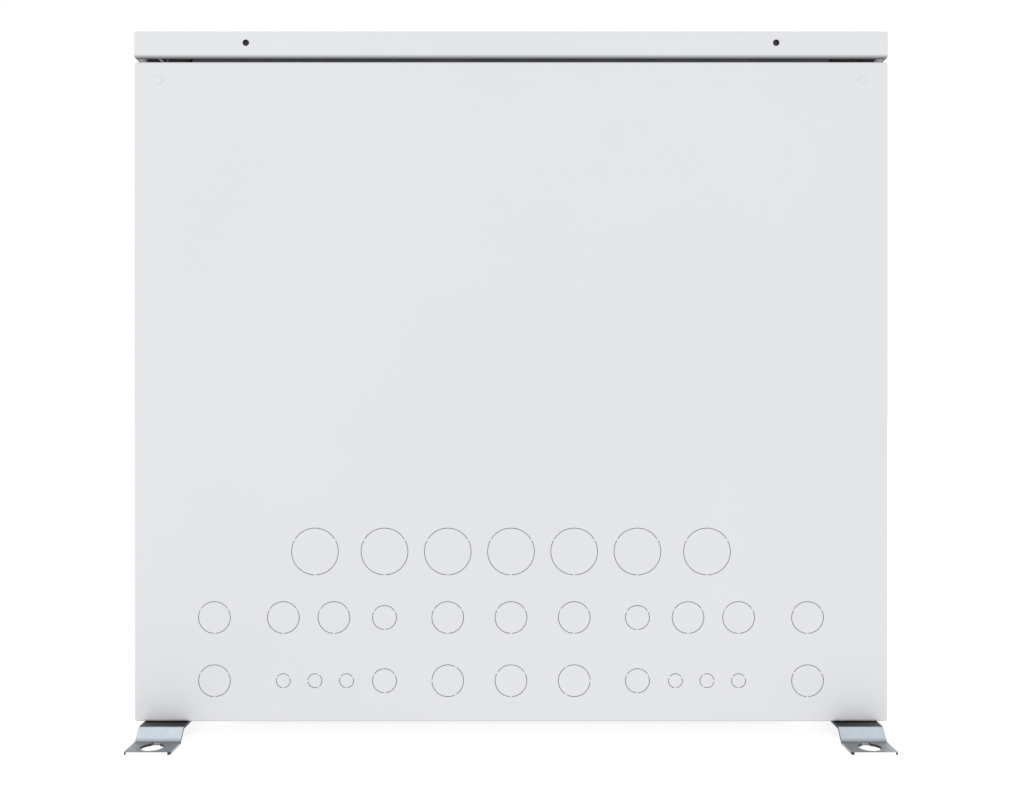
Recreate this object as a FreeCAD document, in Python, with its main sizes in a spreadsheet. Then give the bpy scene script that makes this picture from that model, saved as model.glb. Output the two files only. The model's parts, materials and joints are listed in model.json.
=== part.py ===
import FreeCAD, Part
import Sketcher
import math
import os
import re

# Floor-standing cabinet for an underfloor heating manifold, with a five-loop manifold inside.
# Millimetres. +Z is up and z = 0 is the floor. The rear panel with the knock-outs faces -Y,
# the door faces +Y, and the origin is the middle of the space that the four feet stand in.

doc = FreeCAD.newDocument("ManifoldCabinet")
sizes = doc.addObject("Spreadsheet::Sheet", "Sizes")

drivingSizes = {
    # casing
    "cabinet_width": 596.5,
    "cabinet_depth": 160.0,
    "body_height": 522.0,
    "sheet": 1.2,
    "bend_radius": 2.0,
    "corner_radius": 2.4,
    "return_flange": 12.0,
    "wide_flange": 45.0,
    "front_flange": 25.0,
    "window_width": 448.0,
    "window_depth": 108.0,
    "rim_height": 8.0,
    # lid
    "lid_gap": 4.0,
    "lid_height": 20.3,
    "lid_overhang": 0.45,
    "lid_screw_place": 209.6,
    "lid_screw_drop": 9.5,
    "lid_screw_radius": 2.4,
    "screw_clearance": 0.2,
    "buffer_width": 33.0,
    "buffer_length": 30.0,
    "buffer_place": 271.5,
    "frame_half_width": 253.0,
    "frame_setback": 4.0,
    "frame_band": 18.0,
    "header_height": 28.0,
    # rivets
    "rivet_place": 278.3,
    "rivet_drop": 14.4,
    "rivet_radius": 3.0,
    "rivet_height": 1.1,
    "rivet_shank": 1.6,
    # knock-outs: ring slots round a disc that three bridges hold
    "row_low": 32.4,
    "row_mid": 82.4,
    "row_top": 134.6,
    "large": 36.9,
    "medium": 25.0,
    "small": 18.9,
    "tiny": 10.94,
    "slot_width": 0.35,
    "bridge_width": 1.2,
    # feet
    "foot_height": 11.0,
    "foot_sheet": 2.0,
    "foot_width": 35.0,
    "foot_place": 272.4,
    "foot_tab": 12.0,
    "foot_joggle": 8.5,
    "foot_reach": 45.5,
    "foot_inside": 45.0,
    "foot_bolt_inset": 35.0,
    "foot_corner": 2.0,
    "keyhole_radius": 8.75,
    "keyhole_edge": 3.5,
    "keyslot_radius": 3.4,
    "keyslot_run": 8.5,
    # door
    "door_depth": 18.0,
    "door_gap": 3.2,
    "door_side_gap": 1.0,
    "door_foot_gap": 2.0,
    "hinge_inset": 5.5,
    "hinge_back": 6.0,
    "hinge_end": 60.0,
    "pin_radius": 2.0,
    "pin_clearance": 0.05,
    "knuckle_radius": 4.0,
    "knuckle_length": 16.0,
    "hinge_tab": 2.0,
    "notch_clearance": 3.0,
    "lock_inset": 36.0,
    "lock_radius": 9.0,
    "plug_radius": 6.0,
    "cam_length": 24.0,
    "cam_width": 12.0,
    "cam_sheet": 2.0,
    "cam_gap": 1.5,
    # manifold bars
    "loop_pitch": 50.0,
    "first_loop": -55.0,
    "bar_start": -120.0,
    "bar_length": 290.0,
    "bar_radius": 17.5,
    "bar_wall": 2.5,
    "supply_level": 389.0,
    "return_level": 179.0,
    "strap_gap": 0.3,
    "bar_offset": 36.0,
    "boss_radius": 11.5,
    "boss_reach": 22.0,
    "port_radius": 7.0,
    # loop connectors
    "nut_flats": 27.0,
    "nut_length": 20.0,
    "collar_radius": 11.0,
    "collar_length": 6.0,
    "pipe_radius": 8.1,
    "mouth_length": 14.0,
    # flow meters
    "meter_flats": 24.0,
    "meter_base": 10.0,
    "glass_radius": 9.5,
    "glass_wall": 1.5,
    "glass_length": 52.0,
    "ring_radius": 14.0,
    "ring_length": 14.0,
    "ring_clearance": 0.08,
    "rib_radius": 0.9,
    "float_radius": 5.0,
    "float_length": 4.0,
    # return valves
    "insert_flats": 24.0,
    "insert_base": 9.0,
    "thread_radius": 14.8,
    "thread_length": 10.0,
    "stem_radius": 2.5,
    "stem_length": 5.0,
    "cap_radius": 17.5,
    "cap_length": 27.0,
    "cap_wall": 2.6,
    # isolating valves
    "union_flats": 41.0,
    "union_length": 20.0,
    "valve_radius": 21.0,
    "valve_length": 64.0,
    "mouth_radius": 15.2,
    "mouth_depth": 16.0,
    "way_radius": 10.5,
    "ball_radius": 15.5,
    "ball_clearance": 0.4,
    "spindle_radius": 4.0,
    "spindle_reach": 34.0,
    "neck_radius": 9.0,
    "neck_reach": 25.0,
    "handle_length": 62.0,
    "handle_width": 13.0,
    "handle_height": 12.0,
    # end pieces
    "end_flats": 32.0,
    "end_hex": 12.0,
    "end_radius": 14.0,
    "end_length": 40.0,
    "vent_radius": 7.0,
    "vent_reach": 26.0,
    "vent_knob_radius": 8.5,
    "vent_knob_length": 11.0,
    "drain_radius": 9.5,
    "drain_reach": 34.0,
    "drain_knob_radius": 13.0,
    "drain_knob_length": 14.0,
    "knob_pin_radius": 3.0,
    "knob_pin_length": 8.0,
    # thermometers
    "dial_place": 25.0,
    "dial_radius": 17.0,
    "dial_length": 9.0,
    "dial_stem": 7.0,
    "dial_reach": 25.0,
    # rails, brackets and clamps
    "rail_depth": 12.0,
    "rail_width": 25.0,
    "rail_sheet": 1.5,
    "rail_margin": 55.0,
    "bracket_sheet": 3.0,
    "clamp_width": 16.0,
    "clamp_sheet": 2.0,
    "clamp_base": 3.0,
    "lining": 2.0,
    "bracket_bolt_offset": 45.0,
    "bolt_radius": 3.0,
    "bolt_clearance": 0.3,
    "bolt_flats": 10.0,
    "bolt_head": 4.0,
    "guide_level": 62.0,
    "guide_height": 30.0,
    "guide_depth": 14.0,
    "guide_back": -33.0,
}

for row, (alias, value) in enumerate(drivingSizes.items(), start=1):
    sizes.set("A%d" % row, alias)
    sizes.set("B%d" % row, str(value))
    sizes.setAlias("B%d" % row, alias)
doc.recompute()

loopCount = 5
flatsToCorners = 0.57735
origin = FreeCAD.Vector(0, 0, 0)
turns = {
    "Z": FreeCAD.Rotation(FreeCAD.Vector(1, 0, 0), 0),
    "-Z": FreeCAD.Rotation(FreeCAD.Vector(1, 0, 0), 180),
    "X": FreeCAD.Rotation(FreeCAD.Vector(0, 1, 0), 90),
    "Y": FreeCAD.Rotation(FreeCAD.Vector(1, 0, 0), -90),
    "-Y": FreeCAD.Rotation(FreeCAD.Vector(1, 0, 0), 90),
}
nodes = []

# Places that several pieces share, as texts of the sheet's aliases
half = "cabinet_width / 2"
rear = "-cabinet_depth / 2"
front = "cabinet_depth / 2"
bodyTop = "(foot_height + body_height)"
lidTop = "(foot_height + body_height + lid_gap + lid_height)"
bodyFront = "(cabinet_depth / 2 - door_depth - door_gap)"
bodyDepth = "(cabinet_depth - door_depth - door_gap)"
railFront = "(-cabinet_depth / 2 + sheet + rail_depth)"
bracketFront = "(-cabinet_depth / 2 + sheet + rail_depth + bracket_sheet)"
strapRadius = "(bar_radius + lining + clamp_sheet)"
leverX = "(bar_start - union_length - valve_length / 2)"
endX = "(bar_start + bar_length + end_hex + end_length / 2)"
hingeX = "(cabinet_width / 2 - door_side_gap - hinge_inset)"
hingeY = "(cabinet_depth / 2 - door_depth + hinge_back)"
doorLow = "(foot_height + door_foot_gap)"
doorHeight = "(body_height - 2 * door_foot_gap)"
lockX = "(-cabinet_width / 2 + lock_inset)"
lockZ = "(foot_height + body_height / 2)"
camBack = "(cabinet_depth / 2 - door_depth - door_gap - sheet - cam_gap - cam_sheet)"
supplyY = "(%s + %s + strap_gap)" % (bracketFront, strapRadius)
returnY = "(%s + bar_offset)" % supplyY
standOffFront = "(%s - %s - clamp_base)" % (returnY, strapRadius)
bars = {
    "supply": {"y": supplyY, "z": "supply_level"},
    "return": {"y": returnY, "z": "return_level"},
}
bracketX = {
    "left": "(first_loop + loop_pitch / 2)",
    "right": "(first_loop + 3.5 * loop_pitch)",
}


def read(alias):
    """Number in the sheet, for shapes that are made without a feature."""
    return float(sizes.get(alias))


def formula(text):
    """The text as an expression: each alias gets the sheet's name before it."""
    return re.sub(r"[a-z][a-z_]*", lambda word: "Sizes." + word.group(), text)


def hold(item, place, axis="Z"):
    """Turn an object's own Z to an axis and bind its base point to three formulas."""
    item.Placement = FreeCAD.Placement(origin, turns[axis])
    for letter, text in zip("xyz", place):
        item.setExpression("Placement.Base." + letter, formula(text))
    return item


def block(name, low, size):
    """Box from its lowest corner and its three sizes."""
    item = doc.addObject("Part::Box", name)
    for prop, text in zip(("Length", "Width", "Height"), size):
        item.setExpression(prop, formula(text))
    return hold(item, low)


def rod(name, start, radius, length, axis="Z"):
    """Cylinder from the centre of its first face."""
    item = doc.addObject("Part::Cylinder", name)
    item.setExpression("Radius", formula(radius))
    item.setExpression("Height", formula(length))
    return hold(item, start, axis)


def hexagon(name, start, flats, length, axis="Z"):
    """Hexagonal bar from the centre of its first face and the size across its flats."""
    item = doc.addObject("Part::Prism", name)
    item.Polygon = 6
    item.setExpression("Circumradius", formula("(%s) * %s" % (flats, flatsToCorners)))
    item.setExpression("Height", formula(length))
    return hold(item, start, axis)


def ball(name, centre, radius, axis="X"):
    """Sphere with its poles on an axis."""
    item = doc.addObject("Part::Sphere", name)
    item.setExpression("Radius", formula(radius))
    return hold(item, centre, axis)


def fuse(name, parts):
    item = doc.addObject("Part::MultiFuse", name)
    item.Shapes = parts
    return item


def cut(name, base, tools):
    """The base with every tool taken away."""
    item = doc.addObject("Part::Cut", name)
    item.Base = base
    item.Tool = tools[0] if len(tools) == 1 else fuse(name + "Tools", tools)
    return item


def gather(name, parts):
    """Separate solids kept together as one node."""
    item = doc.addObject("Part::Compound", name)
    item.Links = parts
    return item


def node(name, item):
    """Name a finished sub-part, which also names its file."""
    item.Label = name
    nodes.append(item)
    return item


def loopX(k):
    return "(first_loop + %d * loop_pitch)" % k


def sketchOn(body, role, name, lift="0"):
    """Sketch on one of the body's own origin planes, lifted along its normal."""
    plane = [item for item in body.Origin.OriginFeatures if item.Role == role][0]
    sketch = body.newObject("Sketcher::SketchObject", name)
    sketch.AttachmentSupport = [(plane, "")]
    sketch.MapMode = "FlatFace"
    sketch.setExpression("AttachmentOffset.Base.z", formula(lift))
    return sketch


def outline(sketch, corners):
    """Closed outline whose corners are pairs of formulas, measured from the sketch's origin."""
    count = len(corners)
    spread = [2 * math.pi * k / count for k in range(count)]
    points = [FreeCAD.Vector(math.cos(angle), math.sin(angle), 0) for angle in spread]
    for k in range(count):
        sketch.addGeometry(Part.LineSegment(points[k], points[(k + 1) % count]), False)
    for k in range(count):
        sketch.addConstraint(Sketcher.Constraint("Coincident", k, 2, (k + 1) % count, 1))
    for k, pair in enumerate(corners):
        for kind, text, now in zip(("DistanceX", "DistanceY"), pair, (points[k].x, points[k].y)):
            index = sketch.addConstraint(Sketcher.Constraint(kind, -1, 1, k, 1, now))
            name = "%s%d" % (kind, k)
            sketch.renameConstraint(index, name)
            sketch.setExpression("Constraints." + name, formula(text))


def rectangle(sketch, width, height):
    """Rectangle centred on the sketch's origin."""
    x = "%s / 2" % width
    y = "%s / 2" % height
    outline(sketch, [("-" + x, "-" + y), (x, "-" + y), (x, y), ("-" + x, y)])


def pad(body, sketch, name, length):
    feature = body.newObject("PartDesign::Pad", name)
    feature.Profile = sketch
    feature.setExpression("Length", formula(length))
    doc.recompute()
    return feature


def pocket(body, sketch, name, depth):
    """Cut against the sketch's normal, and make sure that it cuts."""
    before = body.Shape.Volume
    feature = body.newObject("PartDesign::Pocket", name)
    feature.Profile = sketch
    feature.setExpression("Length", formula(depth))
    doc.recompute()
    if body.Shape.Volume >= before:
        raise RuntimeError(name + " cuts nothing")
    return feature


def roundEdges(body, base, name, radius, chosen):
    feature = body.newObject("PartDesign::Fillet", name)
    names = ["Edge%d" % (k + 1) for k, edge in enumerate(base.Shape.Edges) if chosen(edge)]
    feature.Base = (base, names)
    feature.setExpression("Radius", formula(radius))
    doc.recompute()
    return feature


def isUpright(edge):
    box = edge.BoundBox
    return box.ZLength > 1 and box.XLength + box.YLength < 0.01


def isAtBottom(edge):
    box = edge.BoundBox
    return box.ZMin < 0.01 and box.ZLength < 0.01


def tray(name, width, height, depth):
    """Folded sheet tray in its own frame: the face lies on z = 0 and the flanges rise from it."""
    body = doc.addObject("PartDesign::Body", name)
    face = sketchOn(body, "XY_Plane", name + "Face")
    rectangle(face, width, height)
    slab = pad(body, face, name + "Slab", depth)
    corners = roundEdges(body, slab, name + "Corners", "corner_radius", isUpright)
    roundEdges(body, corners, name + "Bend", "bend_radius", isAtBottom)
    hollow = sketchOn(body, "XY_Plane", name + "Inside", depth)
    rectangle(hollow, "(%s - 2 * sheet)" % width, "(%s - 2 * sheet)" % height)
    pocket(body, hollow, name + "Hollow", "%s - sheet" % depth)
    return body


# ---- casing ----

knockouts = (
    # row, ring, distances from the middle, and whether the bridges are turned outwards
    ("row_top", "large", (0, 50, 100, 155), False),
    ("row_mid", "medium", (0, 50, 140, 180, 234.5), False),
    ("row_mid", "small", (100,), False),
    ("row_low", "medium", (0, 234.5), False),
    ("row_low", "medium", (50,), True),
    ("row_low", "small", (100,), False),
    ("row_low", "tiny", (130, 180), False),
    ("row_low", "tiny", (155,), True),
)


def ringSlots(x, z, diameter, firstBridge):
    """Three slots of a ring in the XZ plane, with a bridge at firstBridge and every 120 degrees on."""
    inner = (diameter - read("slot_width")) / 2
    outer = (diameter + read("slot_width")) / 2
    halfBridge = math.degrees(read("bridge_width") / diameter)
    deep = 4 * read("sheet")
    slots = []
    for turn in (0, 120, 240):
        start = firstBridge + turn + halfBridge
        sweep = 120 - 2 * halfBridge
        whole = Part.makeCylinder(outer, deep, origin, FreeCAD.Vector(0, 0, 1), sweep)
        core = Part.makeCylinder(inner, deep, origin, FreeCAD.Vector(0, 0, 1), 360)
        slot = whole.cut(core)
        slot.rotate(origin, FreeCAD.Vector(0, 0, 1), start)
        slot.rotate(origin, FreeCAD.Vector(1, 0, 0), 90)
        slot.translate(FreeCAD.Vector(x, -read("cabinet_depth") / 2 + deep / 2, z))
        slots.append(slot)
    return slots


def knockoutCutter():
    """All ring slots of the rear panel, mirrored about its middle."""
    slots = []
    for row, ring, distances, outward in knockouts:
        z = read("foot_height") + read(row)
        for distance in distances:
            for x in sorted({-distance, distance}):
                outwardAngle = 180 if x < 0 else 0
                slots += ringSlots(x, z, read(ring), outwardAngle if outward else 270)
    item = doc.addObject("Part::Feature", "KnockoutSlots")
    item.Shape = Part.makeCompound(slots)
    return item


def rivetPlaces():
    return [("%s * rivet_place" % side, "(foot_height + body_height - rivet_drop)") for side in ("-1", "1")]


def rearPanel():
    """Folded rear panel with four return flanges, ring slots and two rivet holes."""
    pan = tray("RearTray", "cabinet_width", "body_height", "return_flange")
    hold(pan, ("0", rear, "foot_height + body_height / 2"), "Y")
    holes = [rod("RivetHole", (x, rear + " - sheet", z), "rivet_shank", "3 * sheet", "Y")
             for x, z in rivetPlaces()]
    drilled = cut("RearDrilled", pan, holes)
    pierced = doc.addObject("Part::Cut", "RearPanel")
    pierced.Base = drilled
    pierced.Tool = knockoutCutter()
    return pierced


def footBoltPlaces():
    places = []
    for side in ("-1", "1"):
        for end in ("-1", "1"):
            y = "%s * (cabinet_depth / 2 - foot_bolt_inset)" % end
            places.append(("%s * foot_place" % side, y))
    return places


def footBoltHoles(name, low, length):
    return [rod(name, (x, y, low), "bolt_radius + bolt_clearance", length) for x, y in footBoltPlaces()]


def sidePanel(side):
    """Side sheet with flanges folded inwards at the top, the front and the bottom, and a rear lip."""
    sign = {"left": "-1", "right": "1"}[side]

    def inwards(name, y, depth, z, height, reach, gap="0"):
        start = "%s - %s - %s" % (half, reach, gap) if sign == "1" else "-%s + %s" % (half, gap)
        return block(name, (start, y, z), (reach, depth, height))

    back = rear + " + return_flange"
    depth = bodyDepth + " - return_flange"
    web = inwards("SideWeb", back, depth, "foot_height", "body_height", "sheet")
    lip = inwards("SideLip", rear + " + sheet", "return_flange + 8", "foot_height + sheet",
                  "body_height - 2 * sheet", "sheet", "sheet")
    top = inwards("SideTop", back, depth, bodyTop + " - sheet", "sheet", "wide_flange")
    base = inwards("SideBase", back, depth, "foot_height", "sheet", "wide_flange")
    face = inwards("SideFront", bodyFront + " - sheet", "sheet", "foot_height", "body_height",
                   "front_flange")
    pieces = [web, lip, top, base, face]
    if side == "right":
        pieces += [hingeTab(low) for low in hingeLevels()]
    return cut("SidePanel", fuse("SideFolds", pieces), footBoltHoles("SideBoltHole", "foot_height - 1", "4"))


def hingeLevels():
    """Underside of each hinge tab: the tabs stand at equal distances from the door's two ends."""
    return ["(foot_height + hinge_end)", "(foot_height + body_height - hinge_end - knuckle_length)"]


def hingeTab(low):
    """Ear on the side panel that carries one hinge pin, with the pin's hole."""
    reach = "door_gap + hinge_back + knuckle_radius + sheet"
    ear = block("HingeEar", (hingeX + " - knuckle_radius", bodyFront + " - sheet", low),
                ("2 * knuckle_radius", reach, "hinge_tab"))
    hole = rod("EarHole", (hingeX, hingeY, low + " - 1"), "pin_radius", "hinge_tab + 2")
    return cut("HingeTab", ear, [hole])


def floorPlate():
    """Floor of the cabinet with a wide window for the loop pipes."""
    low = "foot_height + sheet"
    plate = block("FloorSheet", ("-%s + 2 * sheet" % half, rear + " + sheet", low),
                  ("cabinet_width - 4 * sheet", bodyDepth + " - 2 * sheet", "sheet"))
    window = block("FloorWindow", ("-window_width / 2", "-window_depth / 2", low + " - 1"),
                   ("window_width", "window_depth", "rim_height + 2"))
    rim = block("FloorRim", ("-window_width / 2 - sheet", "-window_depth / 2 - sheet", low),
                ("window_width + 2 * sheet", "window_depth + 2 * sheet", "rim_height"))
    holes = footBoltHoles("FloorBoltHole", low + " - 1", "sheet + 2")
    return cut("FloorPlate", fuse("FloorFolds", [plate, rim]), [window] + holes)


def topFrame():
    """Ring under the lid with upstands for the lid screws and a header over the door."""
    back = rear + " + frame_setback"
    depth = bodyDepth + " - frame_setback"
    ring = block("RingOuter", ("-frame_half_width", back, bodyTop), ("2 * frame_half_width", depth, "sheet"))
    hole = block("RingHole", ("-frame_half_width + frame_band", back + " + frame_band", bodyTop + " - 1"),
                 ("2 * (frame_half_width - frame_band)", depth + " - 2 * frame_band", "sheet + 2"))
    rise = "lid_gap + lid_height - 3 * sheet"
    rearRise = block("RearUpstand", ("-frame_half_width", back, bodyTop),
                     ("2 * frame_half_width", "sheet", rise))
    frontRise = block("FrontUpstand", ("-frame_half_width", bodyFront + " - sheet", bodyTop),
                      ("2 * frame_half_width", "sheet", rise))
    headerLow = bodyTop + " - header_height"
    header = block("Header", ("-%s + front_flange" % half, bodyFront + " - sheet", headerLow),
                   ("cabinet_width - 2 * front_flange", "sheet", "header_height - sheet"))
    link = block("HeaderLink", ("-frame_half_width", bodyFront + " - sheet", headerLow),
                 ("2 * frame_half_width", "sheet", "header_height + sheet"))
    threads = [rod("ScrewThread", (x, back + " - 1", z), "lid_screw_radius - 1", "sheet + 2", "Y")
               for x, z in lidScrewPlaces()]
    return cut("TopFrame", fuse("TopFolds", [ring, rearRise, frontRise, header, link]), [hole] + threads)


def lidScrewPlaces():
    return [("%s * lid_screw_place" % side, lidTop + " - lid_screw_drop") for side in ("-1", "1")]


def lid():
    """Folded lid, a little wider than the body, with two screw holes in its rear skirt."""
    pan = tray("LidTray", "(cabinet_width + 2 * lid_overhang)", "(cabinet_depth + 2 * lid_overhang)",
               "lid_height")
    hold(pan, ("0", "0", lidTop), "-Z")
    holes = [rod("LidHole", (x, rear + " - lid_overhang - 1", z), "lid_screw_radius + screw_clearance",
                 "sheet + 2", "Y") for x, z in lidScrewPlaces()]
    return cut("Lid", pan, holes)


def lidScrews():
    """Two socket screws through the skirt into the rear upstand, their heads just below the surface."""
    screws = []
    for x, z in lidScrewPlaces():
        face = rear + " - lid_overhang + 0.5"
        head = rod("LidScrewHead", (x, face, z), "lid_screw_radius", "2.5", "Y")
        shank = rod("LidScrewShank", (x, face, z), "lid_screw_radius - 1", "7.5", "Y")
        socket = hexagon("LidScrewSocket", (x, face + " - 0.1", z), "2.5", "1.4", "Y")
        screws.append(cut("LidScrew", fuse("LidScrewSolid", [head, shank]), [socket]))
    return gather("LidScrews", screws)


def lidBuffers():
    """Four rubber blocks on the top flanges, which the lid rests on."""
    blocks = []
    for side in ("-1", "1"):
        for y in (rear + " + 1.5 * return_flange", bodyFront + " - buffer_length - 2 * sheet"):
            x = "%s * buffer_place - buffer_width / 2" % side
            size = ("buffer_width", "buffer_length", "lid_gap + lid_height - sheet")
            blocks.append(block("Buffer", (x, y, bodyTop), size))
    return gather("LidBuffers", blocks)


def panelRivets():
    """Low-headed rivets: a cone outside the panel and a shank through it."""
    rivets = []
    for x, z in rivetPlaces():
        head = doc.addObject("Part::Cone", "RivetHead")
        head.setExpression("Radius1", formula("rivet_radius"))
        head.setExpression("Radius2", formula("rivet_radius / 2"))
        head.setExpression("Height", formula("rivet_height"))
        hold(head, (x, rear, z), "-Y")
        shank = rod("RivetShank", (x, rear + " - rivet_height / 2", z), "rivet_shank",
                    "rivet_height / 2 + 2 * sheet", "Y")
        rivets.append(fuse("Rivet", [head, shank]))
    return gather("PanelRivets", rivets)


def foot(side, end):
    """Z-shaped foot bent from strip, with a keyhole for a floor screw in its low tab."""
    name = "Foot" + side.title() + end.title()
    body = doc.addObject("PartDesign::Body", name)
    profile = sketchOn(body, "YZ_Plane", name + "Profile", "-foot_width / 2")
    bendOut = "foot_tab + foot_joggle"
    outline(profile, [
        ("-foot_inside", "foot_height - foot_sheet"),
        ("foot_tab - foot_sheet / 2", "foot_height - foot_sheet"),
        (bendOut + " - foot_sheet / 2", "0"),
        ("foot_reach", "0"),
        ("foot_reach", "foot_sheet"),
        (bendOut + " + foot_sheet / 2", "foot_sheet"),
        ("foot_tab + foot_sheet / 2", "foot_height"),
        ("-foot_inside", "foot_height"),
    ])
    strip = pad(body, profile, name + "Strip", "foot_width")
    roundEdges(body, strip, name + "Corners", "foot_corner", isFootCorner)
    out = "(foot_reach - keyhole_edge - keyhole_radius)"
    round_ = rod("Keyhole", ("0", out, "-1"), "keyhole_radius", "foot_sheet + 2")
    run = block("Keyslot", ("-keyslot_radius", out + " - keyslot_run", "-1"),
                ("2 * keyslot_radius", "keyslot_run", "foot_sheet + 2"))
    tip = rod("KeyslotEnd", ("0", out + " - keyslot_run", "-1"), "keyslot_radius", "foot_sheet + 2")
    bolt = rod("FootBoltHole", ("0", "-foot_bolt_inset", "foot_height - foot_sheet - 1"),
               "bolt_radius + bolt_clearance", "foot_sheet + 2")
    plain = cut(name + "Pierced", body, [round_, run, tip, bolt])
    sign = {"left": "-1", "right": "1"}[side]
    placed = gather(name + "Placed", [plain])
    placed.Placement = FreeCAD.Placement(origin, FreeCAD.Rotation(FreeCAD.Vector(0, 0, 1),
                                                                  180 if end == "rear" else 0))
    placed.setExpression("Placement.Base.x", formula("%s * foot_place" % sign))
    placed.setExpression("Placement.Base.y", formula(rear if end == "rear" else front))
    return placed


def isFootCorner(edge):
    """The short upright edges at the strip's free end."""
    box = edge.BoundBox
    atEnd = box.YMin > read("foot_reach") - 0.01
    return atEnd and box.ZLength > 1 and box.XLength < 0.01


def footBolts():
    """Bolts that hold the feet to the floor plate, heads below."""
    bolts = []
    for x, y in footBoltPlaces():
        top = "foot_height - foot_sheet"
        head = hexagon("FootBoltHead", (x, y, top + " - bolt_head"), "bolt_flats", "bolt_head")
        shank = rod("FootBoltShank", (x, y, top + " - 1"), "bolt_radius", "foot_sheet + 2 * sheet + 4")
        nut = hexagon("FootBoltNut", (x, y, "foot_height + 2 * sheet"), "bolt_flats", "2.5")
        bolts.append(fuse("FootBolt", [head, shank, nut]))
    return gather("FootBolts", bolts)


# ---- door ----

def doorPanel():
    """Folded door with notches that let its hinge side swing round the hinge ears."""
    pan = tray("DoorTray", "(cabinet_width - 2 * door_side_gap)", doorHeight, "door_depth")
    hold(pan, ("0", front, doorLow + " + " + doorHeight + " / 2"), "-Y")
    notches = []
    for low in hingeLevels():
        corner = (hingeX + " + knuckle_radius / 4", front + " - door_depth - 1", low + " - notch_clearance")
        size = ("hinge_inset + 2", "door_depth + 1 - bend_radius - sheet",
                "hinge_tab + 2 * notch_clearance")
        notches.append(block("DoorNotch", corner, size))
    lockHole = rod("LockHole", (lockX, front + " - 4", lockZ), "lock_radius", "8", "Y")
    return cut("DoorPanel", pan, notches + [lockHole])


def doorKnuckles():
    """Tubes on the door that turn on the hinge pins, each with a web to the door sheet."""
    knuckles = []
    for low in hingeLevels():
        start = low + " + hinge_tab + 0.3"
        tube = rod("KnuckleTube", (hingeX, hingeY, start), "knuckle_radius", "knuckle_length - 2")
        web = block("KnuckleWeb", (hingeX + " - knuckle_radius", hingeY, start),
                    ("knuckle_radius", "door_depth - hinge_back - sheet", "knuckle_length - 2"))
        bore = rod("KnuckleBore", (hingeX, hingeY, start + " - 1"), "pin_radius + pin_clearance",
                   "knuckle_length")
        knuckles.append(cut("Knuckle", fuse("KnuckleSolid", [tube, web]), [bore]))
    return gather("DoorKnuckles", knuckles)


def hingePins():
    """Pins fixed in the ears, each with a small head under its ear."""
    pins = []
    for low in hingeLevels():
        head = rod("PinHead", (hingeX, hingeY, low + " - 1.5"), "pin_radius + 1", "1.5")
        shaft = rod("PinShaft", (hingeX, hingeY, low + " - 1"), "pin_radius", "hinge_tab + knuckle_length")
        pins.append(fuse("HingePin", [head, shaft]))
    return gather("HingePins", pins)


def lockBarrel():
    """Fixed barrel of the cam lock: a flange outside, a body through the door and a nut inside."""
    flange = rod("LockFlange", (lockX, front, lockZ), "lock_radius + 2.5", "2", "Y")
    back = camBack + " + cam_sheet + 0.4"
    reach = "door_depth + door_gap + sheet + cam_gap"
    body = rod("LockBody", (lockX, back, lockZ), "lock_radius", reach, "Y")
    nut = hexagon("LockNut", (lockX, front + " - sheet - 5", lockZ), "lock_radius * 2 + 6", "5", "Y")
    bore = rod("LockBore", (lockX, back + " - 1", lockZ), "plug_radius + pin_clearance", reach + " + 4", "Y")
    return cut("LockBarrel", fuse("LockSolid", [flange, body, nut]), [bore])


def lockPlug():
    """Turning plug of the cam lock with a square socket in its face."""
    length = "door_depth + door_gap + sheet + cam_gap + cam_sheet + 3"
    plug = rod("PlugRod", (lockX, camBack + " - 2.4", lockZ), "plug_radius", length, "Y")
    socket = block("PlugSocket", (lockX + " - 3", front + " - 3", lockZ + " - 3"), ("6", "8", "6"))
    square = block("PlugSquare", (lockX + " - 8", camBack + " - 3", lockZ + " + 4"),
                   ("16", "cam_sheet + 3.2", "6"))
    return cut("LockPlug", plug, [socket, square])


def lockCam():
    """Flat cam on the plug's rear end, hanging down while the door is free to open."""
    plate = block("CamPlate", (lockX + " - cam_width / 2", camBack, lockZ + " - cam_length"),
                  ("cam_width", "cam_sheet", "cam_length"))
    eye = rod("CamEye", (lockX, camBack, lockZ), "plug_radius + 3", "cam_sheet", "Y")
    bore = rod("CamBore", (lockX, camBack + " - 1", lockZ), "plug_radius", "cam_sheet + 2", "Y")
    flat = block("CamFlat", (lockX + " - 8", camBack + " - 1", lockZ + " + 4"), ("16", "cam_sheet + 2", "3"))
    return cut("LockCam", fuse("CamSolid", [plate, eye]), [cut("CamHole", bore, [flat])])


# ---- rails, brackets and clamps ----

def mountingRail(side):
    """Vertical C rail on the rear panel, with slots in its front face."""
    x = bracketX[side]
    low = "return_level - rail_margin"
    high = "supply_level - return_level + 2 * rail_margin"
    outer = block("RailOuter", (x + " - rail_width / 2", rear + " + sheet", low),
                  ("rail_width", "rail_depth", high))
    inner = block("RailInner", (x + " - rail_width / 2 + rail_sheet", rear + " + sheet - 1", low + " - 1"),
                  ("rail_width - 2 * rail_sheet", "rail_depth - rail_sheet + 1", high + " + 2"))
    holes = [rod("RailHole", (x, railFront + " - rail_sheet - 1", z), "bolt_radius + bolt_clearance",
                 "rail_sheet + 2", "Y") for z in bracketBoltLevels()]
    return cut("MountingRail", outer, [inner] + holes)


def bracketBoltLevels():
    return ["(return_level + bracket_bolt_offset)", "(supply_level - bracket_bolt_offset)"]


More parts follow.
